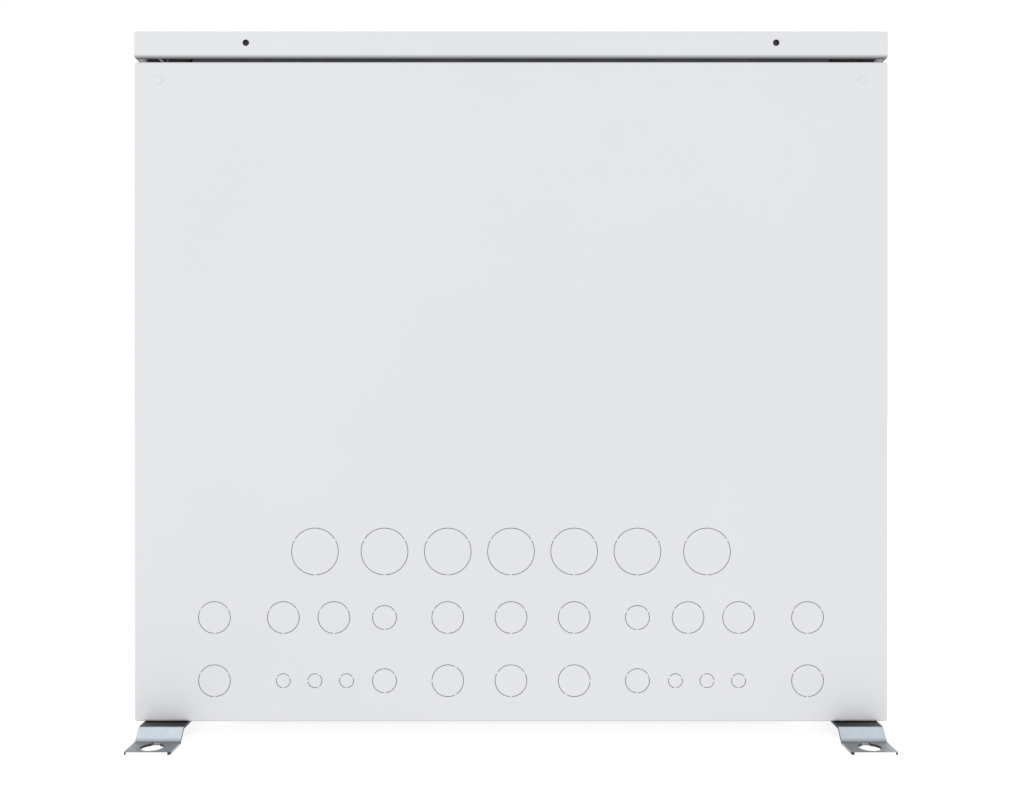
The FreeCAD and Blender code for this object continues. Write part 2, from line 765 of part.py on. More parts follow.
def bracket(side):
    """Flat strip on the rail, with a folded stand-off that carries the front bar."""
    x = bracketX[side]
    low = "return_level - bar_radius - 8"
    strip = block("BracketStrip", (x + " - rail_width / 2", railFront, low),
                  ("rail_width", "bracket_sheet", "supply_level - return_level + 2 * bar_radius + 16"))
    reach = "%s - %s" % (standOffFront, bracketFront)
    outer = block("StandOff", (x + " - clamp_width / 2", bracketFront, "return_level - 14"),
                  ("clamp_width", reach, "28"))
    inner = block("StandOffInside",
                  (x + " - clamp_width / 2 - 1", bracketFront + " + 0.01", "return_level - 11.5"),
                  ("clamp_width + 2", reach + " - 2.5", "23"))
    holes = [rod("BracketHole", (x, railFront + " - 1", z), "bolt_radius + bolt_clearance",
                 "bracket_sheet + 2", "Y") for z in bracketBoltLevels()]
    return cut("Bracket", fuse("BracketSolid", [strip, outer]), [inner] + holes)


def eachClamp():
    """Centre of each pipe clamp and the face that it is fixed to."""
    places = []
    for x in bracketX.values():
        places.append((x, supplyY, "supply_level", bracketFront))
        places.append((x, returnY, "return_level", standOffFront))
    return places


def clampStraps():
    """Strap round each bar, on a flat base that stands on its bracket."""
    straps = []
    for x, y, z, face in eachClamp():
        start = x + " - clamp_width / 2"
        ring = rod("StrapRing", (start, y, z), strapRadius, "clamp_width", "X")
        base = block("StrapBase", (start, face, z + " - 11"), ("clamp_width", "%s - %s" % (y, face), "22"))
        ear = block("StrapEar", (start, y + " + bar_radius", z + " - 2.2"), ("clamp_width", "14", "4.4"))
        gap = block("StrapGap", (start + " - 1", y + " + bar_radius", z + " - 0.6"),
                    ("clamp_width + 2", "15", "1.2"))
        bore = rod("StrapBore", (start + " - 1", y, z), "bar_radius + lining", "clamp_width + 2", "X")
        hole = rod("StrapHole", (x, y + " + bar_radius + 9", z + " - 5"), "2.2", "10")
        straps.append(cut("ClampStrap", fuse("StrapSolid", [ring, base, ear]), [gap, bore, hole]))
    return gather("ClampStraps", straps)


def clampLinings():
    """Rubber sleeve between each strap and its bar."""
    linings = []
    for x, y, z, face in eachClamp():
        start = x + " - clamp_width / 2"
        ring = rod("LiningRing", (start, y, z), "bar_radius + lining", "clamp_width", "X")
        bore = rod("LiningBore", (start + " - 1", y, z), "bar_radius", "clamp_width + 2", "X")
        linings.append(cut("ClampLining", ring, [bore]))
    return gather("ClampLinings", linings)


def bracketBolts():
    """Hexagon bolts that hold the brackets to the rails, and the screws that close the clamps."""
    bolts = []
    for x in bracketX.values():
        for z in bracketBoltLevels():
            head = hexagon("BracketBoltHead", (x, bracketFront, z), "bolt_flats", "bolt_head", "Y")
            shank = rod("BracketBoltShank", (x, railFront + " - rail_sheet - 4", z), "bolt_radius",
                        "rail_sheet + bracket_sheet + 5", "Y")
            bolts.append(fuse("BracketBolt", [head, shank]))
    for x, y, z, face in eachClamp():
        place = y + " + bar_radius + 9"
        head = rod("ClampScrewHead", (x, place, z + " + 2.2"), "3.6", "3")
        shank = rod("ClampScrewShank", (x, place, z + " - 6"), "2", "9")
        bolts.append(fuse("ClampScrew", [head, shank]))
    return gather("BracketBolts", bolts)


def pipeGuideRail():
    """Channel across the cabinet that the loop pipes are tied to."""
    length = "cabinet_width - 4 * sheet"
    start = "-%s + 2 * sheet" % half
    outer = block("GuideOuter", (start, "guide_back", "guide_level"), (length, "guide_depth", "guide_height"))
    inner = block("GuideInner", (start + " - 1", "guide_back - 1", "guide_level + rail_sheet"),
                  (length + " + 2", "guide_depth - rail_sheet + 1", "guide_height - 2 * rail_sheet"))
    slots = []
    for k in range(loopCount):
        corner = (loopX(k) + " - 10", "guide_back", "guide_level + guide_height / 2 - 3")
        slots.append(block("GuideSlot", corner, ("20", "guide_depth + 2", "6")))
    return cut("PipeGuideRail", outer, [inner] + slots)


# ---- manifold ----

def bar(which):
    """Tube with a boss above and below at every loop, and a thin port through each pair."""
    y, z = bars[which]["y"], bars[which]["z"]
    tube = rod("BarTube", ("bar_start", y, z), "bar_radius", "bar_length", "X")
    bosses = [rod("BarBoss", (loopX(k), y, z + " - boss_reach"), "boss_radius", "2 * boss_reach")
              for k in range(loopCount)]
    bore = rod("BarBore", ("bar_start - 1", y, z), "bar_radius - bar_wall", "bar_length + 2", "X")
    ports = [rod("BarPort", (loopX(k), y, z + " - boss_reach - 1"), "port_radius", "2 * boss_reach + 2")
             for k in range(loopCount)]
    return cut("Bar" + which.title(), fuse("BarSolid", [tube] + bosses), [bore] + ports)


def connectors(which):
    """Screwed pipe connectors under one bar: a nut, a collar and a round mouth for the pipe."""
    y, z = bars[which]["y"], bars[which]["z"]
    bottom = "(%s - boss_reach - nut_length - collar_length)" % z
    items = []
    for k in range(loopCount):
        nut = hexagon("ConnectorNut", (loopX(k), y, bottom + " + collar_length"), "nut_flats", "nut_length")
        collar = rod("ConnectorCollar", (loopX(k), y, bottom), "collar_radius", "collar_length + 1")
        mouth = rod("ConnectorMouth", (loopX(k), y, bottom + " - 1"), "pipe_radius", "mouth_length + 1")
        way = rod("ConnectorWay", (loopX(k), y, bottom), "port_radius - 1", "nut_length + collar_length + 1")
        items.append(cut("Connector", fuse("ConnectorSolid", [nut, collar]), [mouth, way]))
    return gather("Connectors" + which.title(), items)


def flowMeterBases():
    """Brass bases of the flow meters, on the supply bar's upper bosses."""
    items = []
    low = "supply_level + boss_reach"
    for k in range(loopCount):
        base = hexagon("MeterBase", (loopX(k), supplyY, low), "meter_flats", "meter_base")
        way = rod("MeterWay", (loopX(k), supplyY, low + " - 1"), "float_radius", "meter_base + 2")
        items.append(cut("FlowMeterBase", base, [way]))
    return gather("FlowMeterBases", items)


def sightTubes():
    """Clear tubes with a rounded closed top, standing on the meter bases."""
    items = []
    low = "supply_level + boss_reach + meter_base"
    for k in range(loopCount):
        tube = rod("GlassTube", (loopX(k), supplyY, low), "glass_radius", "glass_length - glass_radius / 2")
        top = rod("GlassTop", (loopX(k), supplyY, low + " + glass_length - glass_radius / 2"),
                  "glass_radius - glass_wall", "glass_radius / 2")
        inside = rod("GlassInside", (loopX(k), supplyY, low + " - 1"), "glass_radius - glass_wall",
                     "glass_length - glass_radius / 2 - 1")
        items.append(cut("SightTube", fuse("GlassSolid", [tube, top]), [inside]))
    return gather("SightTubes", items)


def flowFloats():
    """Discs that the water lifts in the sight tubes; all five rise together when the pump runs."""
    low = "supply_level + boss_reach + meter_base + ring_length + 8"
    return gather("FlowFloats", [rod("Float", (loopX(k), supplyY, low), "float_radius", "float_length")
                                 for k in range(loopCount)])


def flowRing(k):
    """Ribbed ring that turns round a sight tube to set the flow of its loop."""
    low = "supply_level + boss_reach + meter_base + 0.3"
    ring = rod("RingBody", (loopX(k), supplyY, low), "ring_radius", "ring_length")
    bore = rod("RingBore", (loopX(k), supplyY, low + " - 1"), "glass_radius + ring_clearance",
               "ring_length + 2")
    grooves = ribCutters(loopX(k), supplyY, low, "ring_radius", "ring_length", 12)
    return cut("FlowRing", ring, [bore] + grooves)


def ribCutters(x, y, low, radius, length, count):
    """Small upright rods that leave ribs on the outside of a round grip."""
    cutters = []
    for k in range(count):
        angle = 2 * math.pi * k / count
        across = "%s + %s * %.5f" % (x, radius, math.cos(angle))
        along = "%s + %s * %.5f" % (y, radius, math.sin(angle))
        cutters.append(rod("RibCutter", (across, along, low + " - 1"), "rib_radius", length + " + 2"))
    return cutters


def valveInserts():
    """Thermostatic inserts on the return bar, each with a threaded neck and a stem."""
    items = []
    low = "return_level + boss_reach"
    for k in range(loopCount):
        base = hexagon("InsertBase", (loopX(k), returnY, low), "insert_flats", "insert_base")
        neck = rod("InsertNeck", (loopX(k), returnY, low + " + insert_base"), "thread_radius",
                   "thread_length")
        stem = rod("InsertStem", (loopX(k), returnY, low + " + insert_base"), "stem_radius",
                   "thread_length + stem_length")
        items.append(fuse("ValveInsert", [base, neck, stem]))
    return gather("ValveInserts", items)


def valveCap(k):
    """Ribbed hand cap that screws over the neck of one insert."""
    low = "return_level + boss_reach + insert_base + 0.5"
    cap = rod("CapBody", (loopX(k), returnY, low), "cap_radius", "cap_length")
    bore = rod("CapBore", (loopX(k), returnY, low + " - 1"), "thread_radius + ring_clearance",
               "cap_length - cap_wall + 1")
    grooves = ribCutters(loopX(k), returnY, low, "cap_radius", "cap_length", 16)
    return cut("ValveCap", cap, [bore] + grooves)


def unionNuts():
    """Nuts that join each bar to its isolating valve."""
    items = []
    for place in bars.values():
        start = "bar_start - union_length"
        nut = hexagon("UnionNut", (start, place["y"], place["z"]), "union_flats", "union_length", "X")
        bore = rod("UnionBore", (start + " - 1", place["y"], place["z"]), "way_radius + 3",
                   "union_length + 2", "X")
        items.append(cut("Union", nut, [bore]))
    return gather("UnionNuts", items)


def valveBody(which):
    """Brass body of an isolating ball valve, with an open threaded mouth away from the bar."""
    y, z = bars[which]["y"], bars[which]["z"]
    start = "(bar_start - union_length - valve_length)"
    barrel = rod("ValveBarrel", (start, y, z), "valve_radius - 2", "valve_length", "X")
    waist = rod("ValveWaist", (leverX + " - 15", y, z), "valve_radius", "30", "X")
    mouthHex = hexagon("ValveHex", (start, y, z), "valve_radius * 2 - 2", "mouth_depth", "X")
    neck = rod("ValveNeck", (leverX, y, z), "neck_radius", "neck_reach", "Y")
    way = rod("ValveWay", (start + " - 1", y, z), "way_radius", "valve_length + 2", "X")
    mouth = rod("ValveMouth", (start + " - 1", y, z), "mouth_radius", "mouth_depth + 1", "X")
    seat = ball("ValveSeat", (leverX, y, z), "ball_radius + ball_clearance")
    spindle = rod("ValveSpindleHole", (leverX, y, z), "spindle_radius + pin_clearance", "neck_reach + 1", "Y")
    return cut("ValveBody" + which.title(), fuse("ValveSolid", [barrel, waist, mouthHex, neck]),
               [way, mouth, seat, spindle])


def valveBall(which):
    """Bored ball with its spindle; the bore lies along the bar while the valve is open."""
    y, z = bars[which]["y"], bars[which]["z"]
    sphere = ball("BallSphere", (leverX, y, z), "ball_radius")
    spindle = rod("BallSpindle", (leverX, y, z), "spindle_radius", "spindle_reach", "Y")
    way = rod("BallWay", (leverX + " - ball_radius - 1", y, z), "way_radius - 1", "2 * ball_radius + 2", "X")
    return cut("ValveBall" + which.title(), fuse("BallSolid", [sphere, spindle]), [way])


def valveHandle(which):
    """Butterfly handle along the bar while the valve is open."""
    y, z = bars[which]["y"], bars[which]["z"]
    base = y + " + neck_reach + 0.4"
    hub = rod("HandleHub", (leverX, base, z), "neck_radius", "handle_height", "Y")
    run = "(handle_length - handle_width)"
    wing = block("HandleWing", (leverX + " - %s / 2" % run, base + " + 3", z + " - handle_width / 4"),
                 (run, "handle_height - 3", "handle_width / 2"))
    tips = [rod("HandleTip", ("%s + %s * %s / 2" % (leverX, sign, run), base + " + 3", z),
                "handle_width / 2", "handle_height - 3", "Y") for sign in ("-1", "1")]
    bore = rod("HandleBore", (leverX, base + " - 1", z), "spindle_radius",
               "spindle_reach - neck_reach + 0.6", "Y")
    return cut("ValveHandle" + which.title(), fuse("HandleSolid", [hub, wing] + tips), [bore])


def endPiece(which):
    """End piece with a vent upwards and a drain tap towards the door."""
    y, z = bars[which]["y"], bars[which]["z"]
    start = "(bar_start + bar_length)"
    flats = hexagon("EndHex", (start, y, z), "end_flats", "end_hex", "X")
    body = rod("EndBody", (start + " + end_hex - 1", y, z), "end_radius", "end_length + 1", "X")
    vent = rod("EndVent", (endX, y, z), "vent_radius", "vent_reach")
    drain = rod("EndDrain", (endX, y, z), "drain_radius", "drain_reach", "Y")
    ventHole = rod("VentPinHole", (endX, y, z + " + vent_reach - knob_pin_length"),
                   "knob_pin_radius + pin_clearance", "knob_pin_length + 1")
    drainHole = rod("DrainPinHole", (endX, y + " + drain_reach - knob_pin_length", z),
                    "knob_pin_radius + pin_clearance", "knob_pin_length + 1", "Y")
    return cut("EndPiece" + which.title(), fuse("EndSolid", [flats, body, vent, drain]),
               [ventHole, drainHole])


def ventKnob(which):
    """Hand wheel on the vent, with a pin in the end piece."""
    y, z = bars[which]["y"], bars[which]["z"]
    base = z + " + vent_reach + 0.4"
    grip = rod("VentGrip", (endX, y, base), "vent_knob_radius", "vent_knob_length")
    grooves = ribCutters(endX, y, base, "vent_knob_radius", "vent_knob_length", 10)
    pin = rod("VentPin", (endX, y, z + " + vent_reach - knob_pin_length + 0.5"), "knob_pin_radius",
              "knob_pin_length + 2")
    return fuse("VentKnob", [cut("VentRibbed", grip, grooves), pin])


def drainKnob(which):
    """Cap of the drain tap, with a pin in the end piece and two grip wings."""
    y, z = bars[which]["y"], bars[which]["z"]
    base = y + " + drain_reach + 0.4"
    cap = rod("DrainCap", (endX, base, z), "drain_knob_radius - 2", "drain_knob_length", "Y")
    wing = block("DrainWing", (endX + " - 2.5", base + " + 3", z + " - drain_knob_radius"),
                 ("5", "drain_knob_length - 3", "2 * drain_knob_radius"))
    pin = rod("DrainPin", (endX, y + " + drain_reach - knob_pin_length + 0.5", z), "knob_pin_radius",
              "knob_pin_length + 2", "Y")
    return fuse("DrainKnob", [cap, wing, pin])


def thermometers():
    """Round dials on short stems, on the front of each bar beside the union."""
    items = []
    for place in bars.values():
        x = "bar_start + dial_place"
        stem = rod("DialStem", (x, place["y"] + " + bar_radius - 0.5", place["z"]), "dial_stem",
                   "dial_reach - bar_radius + 1", "Y")
        y = place["y"]
        case = rod("DialCase", (x, y + " + dial_reach", place["z"]), "dial_radius", "dial_length", "Y")
        face = rod("DialFace", (x, y + " + dial_reach + dial_length - 1.5", place["z"]),
                   "dial_radius - 1.5", "3", "Y")
        cradle = rod("DialCradle", ("bar_start - 1", y, place["z"]), "bar_radius",
                     "2 * dial_place + 2", "X")
        items.append(cut("Thermometer", fuse("DialSolid", [stem, case]), [face, cradle]))
    return gather("Thermometers", items)


# ---- assembly ----

node("rear_panel", rearPanel())
node("side_panel_left", sidePanel("left"))
node("side_panel_right", sidePanel("right"))
node("floor_plate", floorPlate())
node("top_frame", topFrame())
node("lid", lid())
node("lid_buffers", lidBuffers())
node("lid_screws", lidScrews())
node("panel_rivets", panelRivets())
for end in ("rear", "front"):
    for side in ("left", "right"):
        node("foot_%s_%s" % (end, side), foot(side, end))
node("foot_bolts", footBolts())
node("hinge_pins", hingePins())
node("door_panel", doorPanel())
node("door_knuckles", doorKnuckles())
node("lock_barrel", lockBarrel())
node("lock_plug", lockPlug())
node("lock_cam", lockCam())
for side in ("left", "right"):
    node("rail_" + side, mountingRail(side))
    node("bracket_" + side, bracket(side))
node("clamp_straps", clampStraps())
node("clamp_linings", clampLinings())
node("bracket_bolts", bracketBolts())
node("pipe_guide_rail", pipeGuideRail())
for which in ("supply", "return"):
    node("%s_bar" % which, bar(which))
    node("%s_connectors" % which, connectors(which))
    node("valve_body_" + which, valveBody(which))
    node("valve_ball_" + which, valveBall(which))
    node("valve_handle_" + which, valveHandle(which))
    node("end_piece_" + which, endPiece(which))
    node("vent_knob_" + which, ventKnob(which))
    node("drain_knob_" + which, drainKnob(which))
node("union_nuts", unionNuts())
node("thermometers", thermometers())
node("flow_meter_bases", flowMeterBases())
node("sight_tubes", sightTubes())
node("flow_floats", flowFloats())
node("valve_inserts", valveInserts())
for k in range(loopCount):
    node("flow_ring_%d" % (k + 1), flowRing(k))
    node("valve_cap_%d" % (k + 1), valveCap(k))

doc.recompute()
for item in doc.Objects:
    if "Invalid" in item.State or "Error" in item.State:
        raise RuntimeError("%s failed: %s" % (item.Label, item.State))
os.makedirs("parts", exist_ok=True)
for item in nodes:
    if item.Shape.isNull() or not item.Shape.isValid():
        raise RuntimeError("%s has no valid shape" % item.Label)
for item in nodes:
    item.Shape.exportStep("parts/%s.step" % item.Label)
print("%d sub-parts written" % len(nodes))
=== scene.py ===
import json
import math
import bmesh
import bpy
import numpy as np
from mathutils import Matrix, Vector
from mathutils.geometry import tessellate_polygon


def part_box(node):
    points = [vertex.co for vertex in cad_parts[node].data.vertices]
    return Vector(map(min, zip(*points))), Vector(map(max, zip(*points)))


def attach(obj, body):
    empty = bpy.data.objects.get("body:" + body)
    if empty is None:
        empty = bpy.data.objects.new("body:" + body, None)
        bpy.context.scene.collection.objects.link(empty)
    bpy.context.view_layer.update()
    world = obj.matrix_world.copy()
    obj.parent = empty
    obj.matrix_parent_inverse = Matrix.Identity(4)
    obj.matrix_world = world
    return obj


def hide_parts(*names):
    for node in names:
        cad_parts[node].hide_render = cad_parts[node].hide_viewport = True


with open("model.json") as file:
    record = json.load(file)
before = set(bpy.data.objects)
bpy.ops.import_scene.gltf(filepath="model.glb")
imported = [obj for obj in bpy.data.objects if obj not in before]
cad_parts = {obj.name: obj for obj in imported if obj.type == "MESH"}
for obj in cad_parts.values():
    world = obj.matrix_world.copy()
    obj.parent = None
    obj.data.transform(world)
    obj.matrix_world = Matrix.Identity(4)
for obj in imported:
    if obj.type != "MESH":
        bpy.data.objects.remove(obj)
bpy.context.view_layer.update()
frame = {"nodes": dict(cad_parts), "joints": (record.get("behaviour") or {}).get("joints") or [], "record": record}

perMetre = 1000.0               # the shapes below are worked out in millimetres
record = frame["record"]
mountPlaces = {mount["name"]: np.array(mount["pos_m"]) * perMetre for mount in record["mounts"]}
jointPlaces = {
    joint["name"]: np.array(joint["pos_m"]) * perMetre for joint in frame["joints"] if joint.get("pos_m")
}
bodyOfNode = {node: body for body, nodes in record["behaviour"]["bodies"].items() for node in nodes}
slotOfNode = {part["node"]: part["material_slot"] for part in record["subparts"]}
loopNumbers = range(1, 6)
barNames = ("supply", "return")
print("stage: frame loaded,", len(frame["nodes"]), "nodes")

viewValues = {
    "distance": 0.830,          # from the rear panel to the lens
    "aimHeight": 0.2654,        # the lens looks straight ahead at this height
    "aside": 0.0008,
    "lens": 36.9,
    "sensor": 36.0,
}


def makeCamera(values):
    low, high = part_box("rear_panel")
    camera = bpy.data.cameras.new("viewCamera")
    camera.lens = values["lens"]
    camera.sensor_width = values["sensor"]
    camera.clip_start = 0.05
    holder = bpy.data.objects.new("viewCamera", camera)
    holder.location = (values["aside"], low.y - values["distance"], values["aimHeight"])
    holder.rotation_euler = (math.radians(90), 0, 0)
    bpy.context.scene.collection.objects.link(holder)
    bpy.context.scene.camera = holder


makeCamera(viewValues)

lightValues = {
    "skyStrength": 1.0,
    "topPower": 2.6,
    "topSize": 1.8,
    "doorPower": 3.0,
    "doorSize": 1.2,
}


def areaLight(name, place, target, size, power):
    lamp = bpy.data.lights.new(name, "AREA")
    lamp.shape = "SQUARE"
    lamp.size = size
    lamp.energy = power
    holder = bpy.data.objects.new(name, lamp)
    holder.location = place
    holder.rotation_euler = (Vector(target) - Vector(place)).to_track_quat("-Z", "Y").to_euler()
    bpy.context.scene.collection.objects.link(holder)


def makeLight(values):
    world = bpy.data.worlds.new("studio")
    world.use_nodes = True
    background = world.node_tree.nodes["Background"]
    background.inputs["Color"].default_value = (1.0, 1.0, 1.0, 1.0)
    background.inputs["Strength"].default_value = values["skyStrength"]
    bpy.context.scene.world = world
    middle = (0, 0, 0.28)
    areaLight("topLight", (-1.1, -1.2, 1.5), middle, values["topSize"], values["topPower"])
    areaLight("doorLight", (0.9, 1.6, 1.2), middle, values["doorSize"], values["doorPower"])
    bpy.context.scene.view_settings.view_transform = "Standard"


makeLight(lightValues)
print("stage: camera and light")


# A material whose colour, gloss and fine relief come from noise on the object's own coordinates.
# Streaks are noise drawn out along one axis; everything uniform sits on the shader's own socket.
def noiseFinish(name, values):
    material = bpy.data.materials.new(name)
    material.use_nodes = True
    nodes, links = material.node_tree.nodes, material.node_tree.links
    shader = nodes["Principled BSDF"]
    place = nodes.new("ShaderNodeTexCoord")
    stretch = nodes.new("ShaderNodeMapping")
    stretch.inputs["Scale"].default_value = values.get("stretch", (1, 1, 1))
    links.new(place.outputs["Object"], stretch.inputs["Vector"])
    broad = nodes.new("ShaderNodeTexNoise")
    broad.inputs["Scale"].default_value = values.get("broadScale", 9.0)
    broad.inputs["Detail"].default_value = 5.0
    links.new(stretch.outputs["Vector"], broad.inputs["Vector"])
    colour = nodes.new("ShaderNodeValToRGB")
    colour.color_ramp.elements[0].position = 0.3
    colour.color_ramp.elements[0].color = (*values["dark"], 1)
    colour.color_ramp.elements[1].position = 0.7
    colour.color_ramp.elements[1].color = (*values["light"], 1)
    links.new(broad.outputs["Fac"], colour.inputs["Fac"])
    links.new(colour.outputs["Color"], shader.inputs["Base Color"])
    gloss = nodes.new("ShaderNodeMapRange")
    gloss.inputs["To Min"].default_value = values["roughLow"]
    gloss.inputs["To Max"].default_value = values["roughHigh"]
    links.new(broad.outputs["Fac"], gloss.inputs["Value"])
    links.new(gloss.outputs["Result"], shader.inputs["Roughness"])
    fine = nodes.new("ShaderNodeTexNoise")
    fine.inputs["Scale"].default_value = values["grainScale"]
    fine.inputs["Detail"].default_value = 3.0
    links.new(stretch.outputs["Vector"], fine.inputs["Vector"])
    relief = nodes.new("ShaderNodeBump")
    relief.inputs["Strength"].default_value = values["grainStrength"]
    relief.inputs["Distance"].default_value = values.get("grainDepth", 0.0002)
    links.new(fine.outputs["Fac"], relief.inputs["Height"])
    links.new(relief.outputs["Normal"], shader.inputs["Normal"])
    shader.inputs["Metallic"].default_value = values.get("metallic", 0.0)
    shader.inputs["Specular IOR Level"].default_value = values.get("specular", 0.5)
    shader.inputs["Transmission Weight"].default_value = values.get("clear", 0.0)
    shader.inputs["IOR"].default_value = values.get("bending", 1.5)
    shader.inputs["Coat Weight"].default_value = values.get("coat", 0.0)
    shader.inputs["Emission Color"].default_value = (1, 1, 1, 1)
    shader.inputs["Emission Strength"].default_value = values.get("glow", 0.0)
    return material


finishValues = {
    "whitePowderCoat": {
        "dark": (0.683, 0.694, 0.715), "light": (0.703, 0.713, 0.733), "roughLow": 0.42, "roughHigh": 0.55,
        "broadScale": 5.0, "grainScale": 900.0, "grainStrength": 0.10, "specular": 0.35,
    },
    "zincPlate": {
        "dark": (0.50, 0.54, 0.58), "light": (0.66, 0.70, 0.74), "roughLow": 0.26, "roughHigh": 0.42,
        "broadScale": 60.0, "grainScale": 700.0, "grainStrength": 0.12, "metallic": 1.0,
    },
    # Near-black zinc for the top frame and earth stud deep in the lid's gap: painted shade
    "darkZinc": {
        "dark": (0.050, 0.055, 0.060), "light": (0.085, 0.090, 0.095), "roughLow": 0.45, "roughHigh": 0.62,
        "broadScale": 40.0, "grainScale": 700.0, "grainStrength": 0.12, "metallic": 0.3,
    },
    # Near-black walls of cuts and holes, floors of grooves and sides of the foot strips: painted shade
    "cutEdge": {
        "dark": (0.020, 0.022, 0.024), "light": (0.050, 0.054, 0.058), "roughLow": 0.40, "roughHigh": 0.60,
        "broadScale": 200.0, "grainScale": 1500.0, "grainStrength": 0.25, "metallic": 0.5,
    },
    # Near-white mirror metal for the feet's front edges: a painted highlight
    "brightEdge": {
        "dark": (0.90, 0.92, 0.94), "light": (0.96, 0.97, 0.98), "roughLow": 0.30, "roughHigh": 0.40,
        "broadScale": 200.0, "grainScale": 1500.0, "grainStrength": 0.10, "metallic": 1.0,
    },
    "lugTin": {
        "dark": (0.20, 0.21, 0.22), "light": (0.30, 0.31, 0.32), "roughLow": 0.40, "roughHigh": 0.55,
        "broadScale": 300.0, "grainScale": 1500.0, "grainStrength": 0.20, "metallic": 0.5,
    },
    "boltZinc": {
        "dark": (0.48, 0.49, 0.50), "light": (0.64, 0.65, 0.66), "roughLow": 0.22, "roughHigh": 0.38,
        "broadScale": 220.0, "grainScale": 1400.0, "grainStrength": 0.15, "metallic": 1.0,
    },
    "blackenedSteel": {
        "dark": (0.030, 0.030, 0.034), "light": (0.070, 0.070, 0.078), "roughLow": 0.30, "roughHigh": 0.50,
        "broadScale": 400.0, "grainScale": 1600.0, "grainStrength": 0.20, "metallic": 0.6,
    },
    "blackRubber": {
        "dark": (0.010, 0.010, 0.011), "light": (0.022, 0.022, 0.024), "roughLow": 0.70, "roughHigh": 0.90,
        "broadScale": 80.0, "grainScale": 1500.0, "grainStrength": 0.35, "specular": 0.25,
    },
    "lockChrome": {
        "dark": (0.70, 0.71, 0.73), "light": (0.80, 0.81, 0.83), "roughLow": 0.06, "roughHigh": 0.14,
        "broadScale": 120.0, "grainScale": 900.0, "grainStrength": 0.02, "metallic": 1.0,
    },
    "drawnStainless": {
        "dark": (0.56, 0.56, 0.55), "light": (0.68, 0.68, 0.67), "roughLow": 0.22, "roughHigh": 0.36,
        "stretch": (0.04, 1.0, 1.0), "broadScale": 400.0, "grainScale": 1800.0, "grainStrength": 0.10,
        "metallic": 1.0,
    },
    "satinNickel": {
        "dark": (0.56, 0.54, 0.49), "light": (0.67, 0.64, 0.58), "roughLow": 0.20, "roughHigh": 0.34,
        "broadScale": 90.0, "grainScale": 1100.0, "grainStrength": 0.10, "metallic": 1.0,
    },
    "polishedBall": {
        "dark": (0.74, 0.74, 0.74), "light": (0.84, 0.84, 0.84), "roughLow": 0.04, "roughHigh": 0.10,
        "broadScale": 60.0, "grainScale": 700.0, "grainStrength": 0.01, "metallic": 1.0,
    },
    "turnedBrass": {
        "dark": (0.62, 0.42, 0.15), "light": (0.76, 0.55, 0.24), "roughLow": 0.18, "roughHigh": 0.30,
        "stretch": (1.0, 1.0, 12.0), "broadScale": 60.0, "grainScale": 500.0, "grainStrength": 0.08,
        "metallic": 1.0,
    },
    "dialCase": {
        "dark": (0.030, 0.031, 0.033), "light": (0.050, 0.051, 0.054), "roughLow": 0.35, "roughHigh": 0.50,
        "broadScale": 90.0, "grainScale": 1300.0, "grainStrength": 0.15,
    },
    "dialFace": {
        "dark": (0.80, 0.80, 0.78), "light": (0.86, 0.86, 0.84), "roughLow": 0.50, "roughHigh": 0.62,
        "broadScale": 120.0, "grainScale": 1500.0, "grainStrength": 0.04,
    },
    "dialInk": {
        "dark": (0.010, 0.010, 0.012), "light": (0.020, 0.020, 0.022), "roughLow": 0.50, "roughHigh": 0.65,
        "broadScale": 300.0, "grainScale": 2000.0, "grainStrength": 0.05,
    },
    "clearMoulding": {
        "dark": (0.93, 0.96, 0.96), "light": (0.97, 0.99, 0.99), "roughLow": 0.02, "roughHigh": 0.07,
        "broadScale": 70.0, "grainScale": 400.0, "grainStrength": 0.02, "clear": 1.0, "bending": 1.49,
    },
    "redPlastic": {
        "dark": (0.52, 0.022, 0.016), "light": (0.62, 0.034, 0.024), "roughLow": 0.28, "roughHigh": 0.42,
        "broadScale": 70.0, "grainScale": 1300.0, "grainStrength": 0.14,
    },
    "bluePlastic": {
        "dark": (0.022, 0.085, 0.36), "light": (0.034, 0.115, 0.44), "roughLow": 0.28, "roughHigh": 0.42,
        "broadScale": 70.0, "grainScale": 1300.0, "grainStrength": 0.14,
    },
    "blackPlastic": {
        "dark": (0.018, 0.018, 0.019), "light": (0.034, 0.034, 0.036), "roughLow": 0.36, "roughHigh": 0.50,
        "broadScale": 70.0, "grainScale": 1300.0, "grainStrength": 0.18,
    },
    "paleFloor": {
        "dark": (0.30, 0.30, 0.30), "light": (0.32, 0.32, 0.32), "roughLow": 0.85, "roughHigh": 0.95,
        "broadScale": 2.0, "grainScale": 60.0, "grainStrength": 0.02, "specular": 0.05, "glow": 0.85,
    },
}
finishes = {name: noiseFinish(name, values) for name, values in finishValues.items()}
# Finish of each material slot whose nodes keep their own shape
finishOfSlot = {
    "white_paint": "whitePowderCoat", "zinc_steel": "zincPlate", "bolt_steel": "boltZinc",
    "black_rubber": "blackRubber", "stainless": "drawnStainless", "nickel": "satinNickel",
    "polished_ball": "polishedBall",
}

# Painted shade of the feet: the tab colour greys the low tab and the shaded pair darken the strip close to the
# casing; bright is the zinc of the slope
footPaintedShadeValues = {
    "bright": (0.56, 0.62, 0.68),
    "tab": (0.30, 0.32, 0.335),         # the flat low tab
    "shadedInner": (0.004, 0.004, 0.005),   # the strip close to the casing, towards its middle
    "shadedOuter": (0.070, 0.075, 0.080),
    "innerEdge": 0.262,
    "outerEdge": 0.289,
    "tabTop": 0.0021,
    "joggleStart": 0.0045,
    "shadedUntil": 0.0917,
    "brightFrom": 0.0925,
}
